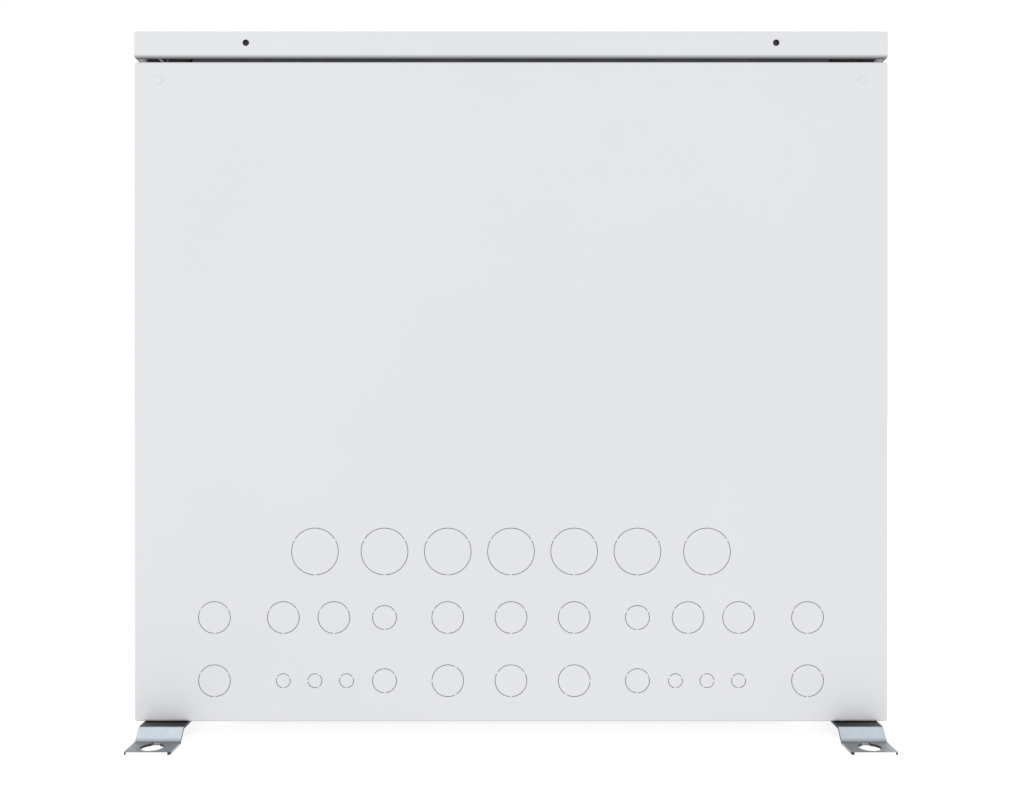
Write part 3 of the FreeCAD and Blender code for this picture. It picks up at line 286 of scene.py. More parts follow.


# Zinc of the feet with painted shade: painted shade where the strip leaves the casing and on the low tab, plain
# bright zinc on the slope.
# The steps follow the distance from the middle of the cabinet and the height above the floor.
def footZincFinish(values):
    material = noiseFinish("footZinc", {**finishValues["zincPlate"], "roughLow": 0.30, "roughHigh": 0.46})
    nodes, links = material.node_tree.nodes, material.node_tree.links
    shader = nodes["Principled BSDF"]
    place = nodes.new("ShaderNodeTexCoord")
    parts = nodes.new("ShaderNodeSeparateXYZ")
    links.new(place.outputs["Object"], parts.inputs["Vector"])
    away = nodes.new("ShaderNodeMath")
    away.operation = "ABSOLUTE"
    links.new(parts.outputs["Y"], away.inputs[0])
    outward = nodes.new("ShaderNodeMapRange")
    outward.inputs["From Min"].default_value = values["shadedUntil"]
    outward.inputs["From Max"].default_value = values["brightFrom"]
    links.new(away.outputs["Value"], outward.inputs["Value"])
    upward = nodes.new("ShaderNodeMapRange")
    upward.inputs["From Min"].default_value = values["tabTop"]
    upward.inputs["From Max"].default_value = values["joggleStart"]
    links.new(parts.outputs["Z"], upward.inputs["Value"])
    low = nodes.new("ShaderNodeMix")
    low.data_type = "RGBA"
    low.inputs[6].default_value = (*values["tab"], 1)
    low.inputs[7].default_value = (*values["bright"], 1)
    links.new(upward.outputs["Result"], low.inputs[0])
    aside = nodes.new("ShaderNodeMath")
    aside.operation = "ABSOLUTE"
    links.new(parts.outputs["X"], aside.inputs[0])
    sideways = nodes.new("ShaderNodeMapRange")
    sideways.inputs["From Min"].default_value = values["innerEdge"]
    sideways.inputs["From Max"].default_value = values["outerEdge"]
    links.new(aside.outputs["Value"], sideways.inputs["Value"])
    near = nodes.new("ShaderNodeMix")
    near.data_type = "RGBA"
    near.inputs[6].default_value = (*values["shadedInner"], 1)
    near.inputs[7].default_value = (*values["shadedOuter"], 1)
    links.new(sideways.outputs["Result"], near.inputs[0])
    whole = nodes.new("ShaderNodeMix")
    whole.data_type = "RGBA"
    links.new(near.outputs[2], whole.inputs[6])
    links.new(outward.outputs["Result"], whole.inputs[0])
    links.new(low.outputs[2], whole.inputs[7])
    mottle = nodes.new("ShaderNodeTexNoise")
    mottle.inputs["Scale"].default_value = 140.0
    links.new(place.outputs["Object"], mottle.inputs["Vector"])
    tone = nodes.new("ShaderNodeMapRange")
    tone.inputs["To Min"].default_value = 0.88
    tone.inputs["To Max"].default_value = 1.08
    links.new(mottle.outputs["Fac"], tone.inputs["Value"])
    toned = nodes.new("ShaderNodeVectorMath")
    toned.operation = "SCALE"
    links.new(whole.outputs[2], toned.inputs[0])
    links.new(tone.outputs["Result"], toned.inputs["Scale"])
    links.new(toned.outputs["Vector"], shader.inputs["Base Color"])
    return material


finishes["footZinc"] = footZincFinish(footPaintedShadeValues)

# Painted shade in the lower folds of the lid and rear panel: its grey and the heights over which it fades in
foldShadeValues = {
    "lidCoat": {"edge": (0.095, 0.098, 0.100), "from": 0.5356, "to": 0.5386},
    "panelCoat": {"edge": (0.26, 0.265, 0.27), "from": 0.0110, "to": 0.0121},
}


# White coat with painted shade: it turns grey in the belly of a lower fold, between two heights
def foldedCoatFinish(name, values):
    material = noiseFinish(name, finishValues["whitePowderCoat"])
    nodes, links = material.node_tree.nodes, material.node_tree.links
    shader = nodes["Principled BSDF"]
    coat = shader.inputs["Base Color"].links[0].from_socket
    place = nodes.new("ShaderNodeTexCoord")
    parts = nodes.new("ShaderNodeSeparateXYZ")
    links.new(place.outputs["Object"], parts.inputs["Vector"])
    upward = nodes.new("ShaderNodeMapRange")
    upward.inputs["From Min"].default_value = values["from"]
    upward.inputs["From Max"].default_value = values["to"]
    links.new(parts.outputs["Z"], upward.inputs["Value"])
    blended = nodes.new("ShaderNodeMix")
    blended.data_type = "RGBA"
    blended.inputs[6].default_value = (*values["edge"], 1)
    links.new(upward.outputs["Result"], blended.inputs[0])
    links.new(coat, blended.inputs[7])
    links.new(blended.outputs[2], shader.inputs["Base Color"])
    return material


for name, values in foldShadeValues.items():
    finishes[name] = foldedCoatFinish(name, values)
print("stage: finishes,", len(finishes))


# Corner numbers of the quads between neighbouring points of a grid, for the whole grid at once
def gridFaces(rows, columns, wrapRows=False):
    row = np.arange(rows if wrapRows else rows - 1)[:, None]
    column = np.arange(columns)[None, :]
    here = row * columns + column
    beside = row * columns + (column + 1) % columns
    above = ((row + 1) % rows) * columns
    return np.stack([here, beside, above + beside % columns, above + column], axis=-1).reshape(-1, 4)


# For each axis: the directions of angle 0 and of 90 degrees, and the way along the axis
axisFrames = {
    "X": ((0, 0, -1), (0, 1, 0), (1, 0, 0)),
    "Y": ((1, 0, 0), (0, 0, -1), (0, 1, 0)),
    "-Y": ((1, 0, 0), (0, 0, 1), (0, -1, 0)),
    "Z": ((1, 0, 0), (0, 1, 0), (0, 0, 1)),
}


# Surface of revolution: point = centre + radius (cos a, sin a) + height along the axis.
# A limit is a radius that depends on the angle; each row keeps the smaller of its own radius and that.
def turned(centre, axis, profile, limit=None, columns=48, ends="solid"):
    profile = np.asarray(profile, float)
    angle = np.arange(columns) * 2 * math.pi / columns
    radius = np.repeat(profile[:, :1], columns, axis=1)
    if limit is not None:
        radius = np.minimum(radius, limit(angle)[None, :])
    across, along, forward = (np.array(way, float) for way in axisFrames[axis])
    radial = np.cos(angle)[:, None] * across + np.sin(angle)[:, None] * along
    points = np.asarray(centre, float) + radius[..., None] * radial + profile[:, 1, None, None] * forward
    faces = gridFaces(len(profile), columns, wrapRows=ends == "ring").tolist()
    if ends == "solid":
        last = (len(profile) - 1) * columns
        faces.append(list(range(columns))[::-1])
        faces.append(list(range(last, last + columns)))
    return points.reshape(-1, 3), faces, np.zeros(len(faces), int)


# Each corner of a profile becomes a short curve between a point before it and a point after it
def softened(corners, reach, closed=False, steps=4):
    corners = np.asarray(corners, float)
    before = np.roll(corners, 1, axis=0) - corners
    after = np.roll(corners, -1, axis=0) - corners
    partBefore = np.minimum(reach / np.maximum(np.linalg.norm(before, axis=1), 1e-9), 0.45)[:, None]
    partAfter = np.minimum(reach / np.maximum(np.linalg.norm(after, axis=1), 1e-9), 0.45)[:, None]
    if not closed:
        partBefore[[0, -1]] = 0
        partAfter[[0, -1]] = 0
    step = np.linspace(0, 1, steps)[None, :, None]
    start = (corners + before * partBefore)[:, None, :]
    end = (corners + after * partAfter)[:, None, :]
    curve = (1 - step) ** 2 * start + 2 * step * (1 - step) * corners[:, None, :] + step ** 2 * end
    if closed:
        return curve.reshape(-1, corners.shape[1])
    inner = curve[1:-1].reshape(-1, corners.shape[1])
    return np.concatenate([corners[:1], inner, corners[-1:]])


# Radius of a hexagon at each angle, from its width across flats
def hexagonLimit(flats):
    return lambda angle: flats / 2 / np.cos(np.mod(angle, math.pi / 3) - math.pi / 6)


# Radius of a fluted grip: a cosine raised to a high power cuts narrow grooves
def fluteLimit(radius, depth, count):
    return lambda angle: radius - depth * np.clip(np.cos(count * angle), 0, 1) ** 4


# Outline of a rectangle with round corners: corner centre + (corner radius - inset) (cos a, sin a)
def roundedOutline(width, height, corner, inset=0.0, steps=7):
    turn = np.linspace(0, math.pi / 2, steps)
    quarter = np.arange(4)[:, None] * math.pi / 2
    angle = turn[None, :] + quarter
    side = np.array([[1, 1], [-1, 1], [-1, -1], [1, -1]], float)
    centres = side * [width / 2 - corner, height / 2 - corner]
    ways = np.stack([np.cos(angle), np.sin(angle)], axis=-1)
    return (centres[:, None, :] + (corner - inset) * ways).reshape(-1, 2)


# A flat sheet with holes: its outline and holes are filled with triangles, and each edge gets a wall.
# With a groove depth the holes are grooves instead, whose loops go out along a line and come back beside it.
def sheetSurface(outline, holes, thickness, place, across, along, outerWall=True, groove=0.0):
    loops = [np.asarray(outline, float)] + [np.asarray(hole, float) for hole in holes]
    flat = np.concatenate(loops)
    count, outerCount = len(flat), len(loops[0])
    triangles = np.array(tessellate_polygon([[Vector((x, y, 0)) for x, y in loop] for loop in loops]))
    a, b, c = (flat[triangles[:, k]] for k in range(3))
    turnedOver = (b[:, 0] - a[:, 0]) * (c[:, 1] - a[:, 1]) - (b[:, 1] - a[:, 1]) * (c[:, 0] - a[:, 0]) < 0
    triangles[turnedOver] = triangles[turnedOver][:, ::-1]
    across, along = np.array(across, float), np.array(along, float)
    outwards = np.cross(across, along)
    front = np.asarray(place, float) + flat[:, :1] * across + flat[:, 1:] * along
    depth = np.where(np.arange(count) < outerCount, thickness, groove or thickness)[:, None]
    faces = triangles.tolist()
    if groove:
        faces.append((np.arange(outerCount)[::-1] + count).tolist())
    else:
        faces += (triangles[:, ::-1] + count).tolist()
    tags = [0] * len(faces)
    start = 0
    for number, loop in enumerate(loops):
        size = len(loop)
        here = start + np.arange(size)
        following = start + (np.arange(size) + 1) % size
        x, y = loop[:, 0], loop[:, 1]
        leftTurning = np.sum(x * np.roll(y, -1) - np.roll(x, -1) * y) > 0
        if number or outerWall:
            wall = np.stack([here, here + count, following + count, following], axis=-1)
            if leftTurning == (number > 0):
                wall = wall[:, ::-1]
            faces += wall.tolist()
            tags += [1 if number else 2] * size
        if number and groove:
            out = start + count + np.arange(size // 2 - 1)
            back = start + count + size - 1 - np.arange(size // 2 - 1)
            bottom = np.stack([out, out + 1, back - 1, back], axis=-1)
            faces += (bottom if leftTurning else bottom[:, ::-1]).tolist()
            tags += [1] * len(bottom)
        start += size
    return np.concatenate([front, front - depth * outwards]), faces, np.array(tags)


# Circle: (x + radius cos a, y + radius sin a)
def circleOutline(x, y, radius, steps=24):
    angle = np.arange(steps) * 2 * math.pi / steps
    return np.stack([x + radius * np.cos(angle), y + radius * np.sin(angle)], axis=-1)


# A folded profile of (inset, depth) carried round a rounded rectangle
def foldedRim(width, height, corner, profile, place, across, along):
    rows = [roundedOutline(width, height, corner, inset) for inset, depth in profile]
    flat = np.array(rows)
    across, along = np.array(across, float), np.array(along, float)
    outwards = np.cross(across, along)
    depth = np.array([depth for inset, depth in profile])[:, None, None]
    points = np.asarray(place, float) + flat[..., :1] * across + flat[..., 1:] * along - depth * outwards
    faces = gridFaces(len(profile), flat.shape[1])[:, ::-1]
    return points.reshape(-1, 3), faces, flat.shape[1]


# Quarter of a fold: inset = centre - radius sin a, depth = centre - radius cos a
def bendArc(centreInset, centreDepth, radius, start, end, steps=6):
    angle = np.radians(np.linspace(start, end, steps))
    inset = centreInset - radius * np.sin(angle)
    depth = centreDepth - radius * np.cos(angle)
    return np.stack([inset, depth], axis=-1).tolist()


def blockSurface(low, high):
    low, high = np.asarray(low, float), np.asarray(high, float)
    pick = np.array([[0, 0, 0], [1, 0, 0], [1, 1, 0], [0, 1, 0], [0, 0, 1], [1, 0, 1], [1, 1, 1], [0, 1, 1]])
    points = low + pick * (high - low)
    faces = [[3, 2, 1, 0], [4, 5, 6, 7], [0, 1, 5, 4], [1, 2, 6, 5], [2, 3, 7, 6], [3, 0, 4, 7]]
    return points, faces, np.zeros(6, int)


def finishEdges(piece, edgeWidth, weighted):
    if edgeWidth:
        bevel = piece.modifiers.new("softEdges", "BEVEL")
        bevel.width = edgeWidth / perMetre
        bevel.segments = 2
        bevel.limit_method = "ANGLE"
        bevel.angle_limit = math.radians(40)
    if weighted:
        evened = piece.modifiers.new("evenShading", "WEIGHTED_NORMAL")
        evened.keep_sharp = True
        evened.weight = 90


# One object from several surfaces, each with the finish of its faces, hole walls and outer edges
def makePiece(name, parts, replaced=(), body=None, edgeWidth=0.0,
              weighted=False, merged=False):
    points, faces, numbers, used, start = [], [], [], [], 0
    for (partPoints, partFaces, tags), finish in parts:
        choice = (finish,) * 4 if isinstance(finish, str) else finish
        for one in choice:
            if one not in used:
                used.append(one)
        slots = np.array([used.index(one) for one in choice])
        points.append(partPoints)
        faces += [[corner + start for corner in face] for face in partFaces]
        numbers.append(slots[tags])
        start += len(partPoints)
    mesh = bpy.data.meshes.new(name)
    mesh.from_pydata((np.concatenate(points) / perMetre).tolist(), [], faces)
    mesh.polygons.foreach_set("material_index", np.concatenate(numbers).astype(np.int32))
    for one in used:
        mesh.materials.append(finishes[one])
    if merged:
        joined = bmesh.new()
        joined.from_mesh(mesh)
        bmesh.ops.remove_doubles(joined, verts=joined.verts, dist=2e-6)
        joined.to_mesh(mesh)
        joined.free()
    mesh.shade_smooth()
    mesh.set_sharp_from_angle(angle=math.radians(38))
    piece = bpy.data.objects.new(name, mesh)
    bpy.context.scene.collection.objects.link(piece)
    finishEdges(piece, edgeWidth, weighted)
    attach(piece, body or bodyOfNode[replaced[0]])
    if replaced:
        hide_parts(*replaced)


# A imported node's own shape with its loose triangles joined, flat areas cleaned and edges rounded
def refinedNode(node, edgeWidth, finish=None):
    first, *others = node.split("_")
    name = first + "".join(word.title() for word in others)
    mesh = frame["nodes"][node].data.copy()
    mesh.name = name
    joined = bmesh.new()
    joined.from_mesh(mesh)
    bmesh.ops.remove_doubles(joined, verts=joined.verts, dist=2e-6)
    bmesh.ops.dissolve_limit(joined, angle_limit=math.radians(0.6), verts=joined.verts, edges=joined.edges)
    joined.to_mesh(mesh)
    joined.free()
    mesh.materials.clear()
    mesh.materials.append(finishes[finish or finishOfSlot[slotOfNode[node]]])
    mesh.polygons.foreach_set("material_index", np.zeros(len(mesh.polygons), np.int32))
    mesh.shade_smooth()
    mesh.set_sharp_from_angle(angle=math.radians(32))
    piece = bpy.data.objects.new(name, mesh)
    bpy.context.scene.collection.objects.link(piece)
    finishEdges(piece, edgeWidth, True)
    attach(piece, bodyOfNode[node])
    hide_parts(node)


def nodeBox(node):
    low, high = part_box(node)
    return np.array(low) * perMetre, np.array(high) * perMetre


rearValues = {
    "sheet": 1.2,
    "bend": 2.0,
    "corner": 2.4,
    "slotOutside": 0.29,        # the slot's outer and inner edges, from the disc's nominal circle
    "slotInside": 0.17,
    "groove": 0.9,              # the cut leaves a skin of coat at the back; the groove's near-black floor and walls are painted shade
    "bridge": 1.5,
    "bridgeCount": 3,
    "rowHeights": {"low": 32.4, "middle": 82.4, "top": 134.6},      # above the panel's lower edge
    "diameters": {"large": 36.9, "medium": 25.0, "small": 18.9, "tiny": 10.94},
    "rings": {
        "top": {"large": (0, 50, 100, 155)},
        "middle": {"medium": (0, 50, 140, 180, 234.5), "small": (100,)},
        "low": {"medium": (0, 50, 234.5), "small": (100,), "tiny": (130, 155, 180)},
    },
    "turnedOutwards": {("low", "medium", 50), ("low", "tiny", 155)},
    "firstBridge": 270.0,
}


# Three thin slots round a knock-out disc: each goes out along an arc and comes back along a smaller one
def ringSlots(x, z, diameter, firstBridge, values):
    outer = diameter / 2 + values["slotOutside"]
    inner = diameter / 2 - values["slotInside"]
    shares = np.arange(values["bridgeCount"]) * 360 / values["bridgeCount"]
    halfBridge = math.degrees(values["bridge"] / 2 / outer)
    loops = []
    for share in shares:
        start = firstBridge + share + halfBridge
        end = firstBridge + share + 360 / values["bridgeCount"] - halfBridge
        angle = np.radians(np.linspace(start, end, 15))
        arc = np.stack([np.cos(angle), np.sin(angle)], axis=-1)
        loops.append(np.concatenate([outer * arc, inner * arc[::-1]]) + [x, z])
    return loops


def makeRearPanel(values):
    low, high = nodeBox("rear_panel")
    width, height, depth = high[0] - low[0], high[2] - low[2], high[1] - low[1]
    middle = (low + high) / 2
    place = (middle[0], low[1], middle[2])
    slots = []
    for row, sizes in values["rings"].items():
        level = values["rowHeights"][row] - height / 2
        for size, places in sizes.items():
            for distance in places:
                for side in ((1, -1) if distance else (1,)):
                    first = values["firstBridge"]
                    if (row, size, distance) in values["turnedOutwards"]:
                        first = 0.0 if side > 0 else 180.0
                    slots += ringSlots(side * distance, level, values["diameters"][size], first, values)
    bend, sheet = values["bend"], values["sheet"]
    edge = roundedOutline(width, height, values["corner"], bend)
    face = sheetSurface(edge, slots, sheet, place, (1, 0, 0), (0, 0, 1), outerWall=False,
                        groove=values["groove"])
    profile = bendArc(bend, bend, bend, 0, 90) + [[0, depth], [sheet, depth]]
    profile += bendArc(bend, bend, bend - sheet, 90, 0)
    points, faces, columns = foldedRim(width, height, values["corner"], profile, place, (1, 0, 0), (0, 0, 1))
    rim = (points, faces.tolist(), np.zeros(len(faces), int))
    makePiece("rearPanel", [(face, ("panelCoat", "cutEdge", "panelCoat")), (rim, "panelCoat")],
              ["rear_panel"], weighted=True, merged=True)


makeRearPanel(rearValues)

lidScrewValues = {
    "radius": 2.4,
    "height": 1.5,
    "socketFlats": 2.5,
    "socketDepth": 1.1,
    "socketPoint": 0.3,
    "rimSoftness": 0.35,
}
lidValues = {
    "sheet": 1.2,
    "bend": 2.0,
    "corner": 2.6,
    "hem": 2.4,                 # radius of the fold at the skirt's lower edge
    "hemDrop": 1.3,             # the fold's belly hangs a little below the plain skirt
    "hemReach": 3.3,
    "sideReach": 9.0,
    "screwHole": 2.6,
}


# The lid's rim is one folded profile, its rear skirt is a flat sheet with the two screw holes
def makeLid(values, screwRadius):
    low, high = nodeBox("lid")
    width, depth, height = high[0] - low[0], high[1] - low[1], high[2] - low[2] + values["hemDrop"]
    middle = (low + high) / 2
    place = (middle[0], middle[1], high[2])
    screwLow, screwHigh = nodeBox("lid_screws")
    screwLevel = high[2] - (screwLow[2] + screwHigh[2]) / 2
    screwAside = (screwHigh[0] - screwLow[0]) / 2 - screwRadius
    bend, sheet, hem = values["bend"], values["sheet"], values["hem"]
    outer = bendArc(bend, bend, bend, 0, 90) + bendArc(hem, height - hem, hem, 90, 180)
    inner = [[values["hemReach"], height], [values["hemReach"], height - sheet]]
    inner += bendArc(hem, height - hem, hem - sheet, 180, 90) + bendArc(bend, bend, bend - sheet, 90, 0)
    profile = outer + inner
    across, along = (1, 0, 0), (0, 1, 0)
    points, faces, columns = foldedRim(width, depth, values["corner"], profile, place, across, along)
    steps = columns // 4
    rowOf, columnOf = np.divmod(np.arange(len(faces)), columns)
    rearFlat = (columnOf == 3 * steps - 1) & ((rowOf == 5) | (rowOf == len(profile) - 7))
    rim = (points, faces[~rearFlat].tolist(), np.zeros(int((~rearFlat).sum()), int))
    edge = roundedOutline(width, depth, values["corner"], bend)
    top = sheetSurface(edge, [], sheet, place, across, along, outerWall=False)
    reach = width / 2 - values["corner"]
    skirt = [[-reach, -(height - hem)], [reach, -(height - hem)], [reach, -bend], [-reach, -bend]]
    holes = [circleOutline(side * screwAside, -screwLevel, values["screwHole"]) for side in (-1, 1)]
    corner = (middle[0], low[1], high[2])
    rear = sheetSurface(skirt, holes, sheet, corner, (1, 0, 0), (0, 0, 1), outerWall=False)
    parts = [(rim, "lidCoat"), (top, "lidCoat"), (rear, ("lidCoat", "cutEdge", "lidCoat"))]
    foldLevel = high[2] - height
    for side in (-1, 1):
        ends = sorted((side * (width / 2 - values["hemReach"]), side * (width / 2 - values["sideReach"])))
        near = (ends[0], low[1] + values["hemReach"], foldLevel)
        far = (ends[1], high[1] - values["hemReach"], foldLevel + sheet)
        parts.append((blockSurface(near, far), "whitePowderCoat"))
    makePiece("lid", parts, ["lid"], weighted=True, merged=True)


makeLid(lidValues, lidScrewValues["radius"])


# Button screws: a domed rim turned about the screw's axis and a six-sided recess in its middle
def makeLidScrews(values):
    low, high = nodeBox("lid_screws")
    level = (low[2] + high[2]) / 2
    parts = []
    corner = values["socketFlats"] / math.sqrt(3)
    radius, height = values["radius"], values["height"]
    floor = height - values["socketDepth"]
    for side in (-1, 1):
        x = (low[0] + high[0]) / 2 + side * ((high[0] - low[0]) / 2 - radius)
        base = (x, low[1] + height, level)
        dome = [[radius, 0], [radius, height * 0.7], [radius * 0.8, height], [corner, height]]
        rim = [[radius * 0.99, -height * 0.6]] + softened(dome, values["rimSoftness"]).tolist()
        parts.append((turned(base, "-Y", rim, columns=36, ends="open"), "blackenedSteel"))
        wall = [[corner, height], [corner, height], [corner, floor], [0.2, floor - values["socketPoint"]]]
        recess = turned(base, "-Y", wall, hexagonLimit(values["socketFlats"]), columns=36)
        parts.append(((recess[0], recess[1][:-2] + recess[1][-1:], recess[2][:-1]), "blackenedSteel"))
    makePiece("lidScrews", parts, ["lid_screws"])


makeLidScrews(lidScrewValues)

rivetValues = {"radius": 3.0, "height": 1.1, "flange": 0.5}


# Blind rivets: radius = rim cos t and height = flange + dome sin t make the head, on a thin flange
def makeRivets(values):
    low, high = nodeBox("panel_rivets")
    parts = []
    level = (low[2] + high[2]) / 2
    panelFace = nodeBox("rear_panel")[0][1]
    radius, flange = values["radius"], values["flange"]
    turn = np.linspace(0, 1, 9) * math.pi / 2
    domeRadius = radius * np.cos(turn) * 0.94 + 0.02
    domeHeight = flange + (values["height"] - flange) * np.sin(turn)
    edge = [[radius * 0.98, 0], [radius, 0.1], [radius, flange * 0.8]]
    profile = np.concatenate([edge, np.stack([domeRadius, domeHeight], axis=-1)])
    for side in (-1, 1):
        x = side * (high[0] - radius)
        parts.append((turned((x, panelFace, level), "-Y", profile, columns=40), "whitePowderCoat"))
    makePiece("rivets", parts, ["panel_rivets"])


makeRivets(rivetValues)
print("stage: rear panel, lid, screws and rivets")

footValues = {
    "sheet": 2.0,
    "width": 35.0,
    "corner": 2.0,
    "bend": 0.9,
    "inside": 45.0,             # under the casing
    "firstTab": 12.0,
    "joggle": 8.5,
    "overlap": 2.5,             # the strip runs this far into the low tab
    "reach": 45.5,
    "keyRadius": 8.75,
    "keyPlace": 33.25,
    "slotRadius": 3.4,
    "slotTip": 24.75,
}


# Keyhole outline: a large arc and a small arc joined by the slot's two straight sides
def keyholeOutline(values):
    large, small = values["keyRadius"], values["slotRadius"]
    opening = math.asin(small / large)
    around = np.linspace(opening, 2 * math.pi - opening, 40)
    big = np.stack([large * np.sin(around), -values["keyPlace"] + large * np.cos(around)], axis=-1)
    tip = np.linspace(-math.pi / 2, math.pi / 2, 16)
    end = np.stack([small * np.sin(tip), -values["slotTip"] + small * np.cos(tip)], axis=-1)
    return np.concatenate([big, end])


# The bent strip is a centre line in the y-z plane, offset by half the sheet to both sides
def footStrip(values, width, height):
    half = values["sheet"] / 2
    high = height - half
    upperBend = -values["firstTab"]
    lowerBend = upperBend - values["joggle"]
    corners = [[values["inside"], high], [upperBend, high], [lowerBend, half],
               [lowerBend - values["overlap"], half]]
    line = softened(corners, values["bend"], steps=7)
    ahead = np.gradient(line, axis=0)
    ahead /= np.linalg.norm(ahead, axis=1)[:, None]
    normal = np.stack([ahead[:, 1], -ahead[:, 0]], axis=-1)
    upper, lower = line + half * normal, line - half * normal
    sides = np.array([-width / 2, width / 2])
    loop = np.stack([
        np.column_stack([np.full(len(line), sides[0]), upper]),
        np.column_stack([np.full(len(line), sides[1]), upper]),
        np.column_stack([np.full(len(line), sides[1]), lower]),
        np.column_stack([np.full(len(line), sides[0]), lower]),
    ], axis=1)
    faces = gridFaces(len(line), 4)
    tags = np.where(np.arange(len(faces)) % 2 == 1, 1, 0)
    return loop.reshape(-1, 3), faces.tolist() + [[3, 2, 1, 0]], np.append(tags, 1)


# Outline of the low tab: two square corners at the strip, two round corners at the free end
def tabOutline(values, width):
    start = -values["firstTab"] - values["joggle"] - values["overlap"]
    turn = np.linspace(0, math.pi / 2, 7)
    inset, corner = width / 2 - values["corner"], values["corner"]
    tip = -values["reach"] + corner
    leftCorner = np.stack([-inset - corner * np.cos(turn), tip - corner * np.sin(turn)], axis=-1)
    rightCorner = np.stack([inset + corner * np.sin(turn), tip - corner * np.cos(turn)], axis=-1)
    return np.concatenate([[[width / 2, start], [-width / 2, start]], leftCorner, rightCorner])


def makeFeet(values):
    for end, facing in (("rear", -1), ("front", 1)):
        for side, sideName in ((-1, "left"), (1, "right")):
            node = "foot_%s_%s" % (end, sideName)
            low, high = nodeBox(node)
            middle = (low[0] + high[0]) / 2
            casing = high[1] - values["inside"] if facing < 0 else low[1] + values["inside"]
            width = values["width"]
            strip = footStrip(values, width, high[2])
            tabPoints, tabFaces, tabTags = sheetSurface(
                tabOutline(values, width), [keyholeOutline(values)], values["sheet"],
                (0, 0, values["sheet"]), (1, 0, 0), (0, 1, 0))
            outerWalls = np.flatnonzero(tabTags == 2)
            tabTags[outerWalls[2:8]] = 1            # the two round corners get near-black painted shade
            tabTags[outerWalls[9:15]] = 1
            tabTags[outerWalls[8]] = 3              # the straight front edge gets a painted highlight
            parts = []
            for points, faces, tags in (strip, (tabPoints, tabFaces, tabTags)):
                moved = points * [1, -facing, 1] + [middle, casing, 0]
                if facing > 0:
                    faces = [face[::-1] for face in faces]
                # Only the rear feet, which are in view, get the painted shade; the front feet keep plain zinc
                footFinish = "footZinc" if facing < 0 else "zincPlate"
                parts.append(((moved, faces, tags), (footFinish, "cutEdge", footFinish, "brightEdge")))
            makePiece("foot" + end.title() + sideName.title(), parts, [node], merged=True, weighted=True)


makeFeet(footValues)

bufferValues = {
    "lip": 15.0,                # the rear blocks reach this far out of the CAD block
    "width": 33.0,
    "length": 30.0,
    "leftSpare": 0.8,
    "rightSpare": 0.2,
    "lift": 0.05,
    "softness": 1.2,
}


# Rubber blocks between the frame and the lid
def makeBuffers(values):
    low, high = nodeBox("lid_buffers")
    parts = []
    for x in (low[0], high[0] - values["width"]):
        near = (low[1] - values["lip"], low[1] + values["length"])
        far = (high[1] - values["length"], high[1])
        for start, end in (near, far):
            first = (x - values["leftSpare"], start, low[2] + values["lift"])
            last = (x + values["width"] + values["rightSpare"], end, high[2])
            parts.append((blockSurface(first, last), "blackRubber"))
    makePiece("lidBuffers", parts, ["lid_buffers"], edgeWidth=values["softness"], weighted=True)


makeBuffers(bufferValues)

earthValues = {
    "fromLid": (-279.4, 536.0),
    "toPanel": (-275.8, 533.2),
    "width": 1.7,
    "sheet": 0.5,
    "bow": 0.25,                # rise in the middle of the strip
    "gap": 1.7,                 # from the panel's face inwards
    "studRadius": 0.8,
    "studLength": 4.4,
    "studPlace": (3.4, 3.2, -0.2),
}


# Earth lug: a thin tinned strip from the lid's fold to the rear panel, height = a straight line + bow sin t
def makeEarthLug(values):
    face = nodeBox("rear_panel")[0][1]
    (startX, startZ), (endX, endZ) = values["fromLid"], values["toPanel"]
    step = np.linspace(0, 1, 9)
    x = startX + (endX - startX) * step
    z = startZ + (endZ - startZ) * step + values["bow"] * np.sin(step * math.pi)
    y = face + values["gap"] + 0 * step
    half = values["width"] / 2
    loop = np.stack([np.column_stack([x - half, y, z]), np.column_stack([x + half, y, z]),
                     np.column_stack([x + half, y + values["sheet"], z]),
                     np.column_stack([x - half, y + values["sheet"], z])], axis=1)
    last = (len(x) - 1) * 4
    faces = [quad[::-1] for quad in gridFaces(len(x), 4).tolist()]
    faces += [[0, 1, 2, 3], [last + 3, last + 2, last + 1, last]]
    lug = (loop.reshape(-1, 3), faces, np.zeros(len(faces), int))
    aside, inwards, drop = values["studPlace"]
    radius, length = values["studRadius"], values["studLength"]
    outline = softened([[0.2, 0], [radius, 0], [radius, length - 0.4], [0.2, length]], 0.2)
    stud = turned((endX + aside, face + inwards, endZ + drop), "Z", outline, columns=20)
    makePiece("earthLug", [(lug, "lugTin"), (stud, "darkZinc")], body="root")


makeEarthLug(earthValues)
print("stage: feet, buffers and earth lug")

# Width of the rounded edges of each node that keeps its own shape
edgeWidths = {
    "side_panel_left": 0.0, "side_panel_right": 0.0, "floor_plate": 0.0, "door_panel": 0.0,
    "door_knuckles": 0.2, "hinge_pins": 0.15, "foot_bolts": 0.25, "rail_left": 0.3, "rail_right": 0.3,
    "bracket_left": 0.3, "bracket_right": 0.3, "clamp_straps": 0.25, "clamp_linings": 0.2,
    "bracket_bolts": 0.25, "pipe_guide_rail": 0.3, "supply_bar": 0.3, "return_bar": 0.3,
    "valve_body_supply": 0.4, "valve_body_return": 0.4, "end_piece_supply": 0.4, "end_piece_return": 0.4,
    "valve_ball_supply": 0.2, "valve_ball_return": 0.2, "lock_cam": 0.25,
}
for node, edge in edgeWidths.items():
    refinedNode(node, edge)
# The top frame behind the lid's gap takes the near-black zinc of painted shade
refinedNode("top_frame", 0.0, "darkZinc")
print("stage: casing, rails, bars and valve bodies")

nutValues = {
    "flats": 27.0, "length": 20.0, "chamfer": 1.4, "grooveDepth": 2.4, "collarRadius": 11.0,
    "collarLength": 6.0, "pipeRadius": 8.1, "mouth": 14.0, "stop": 1.4,
}


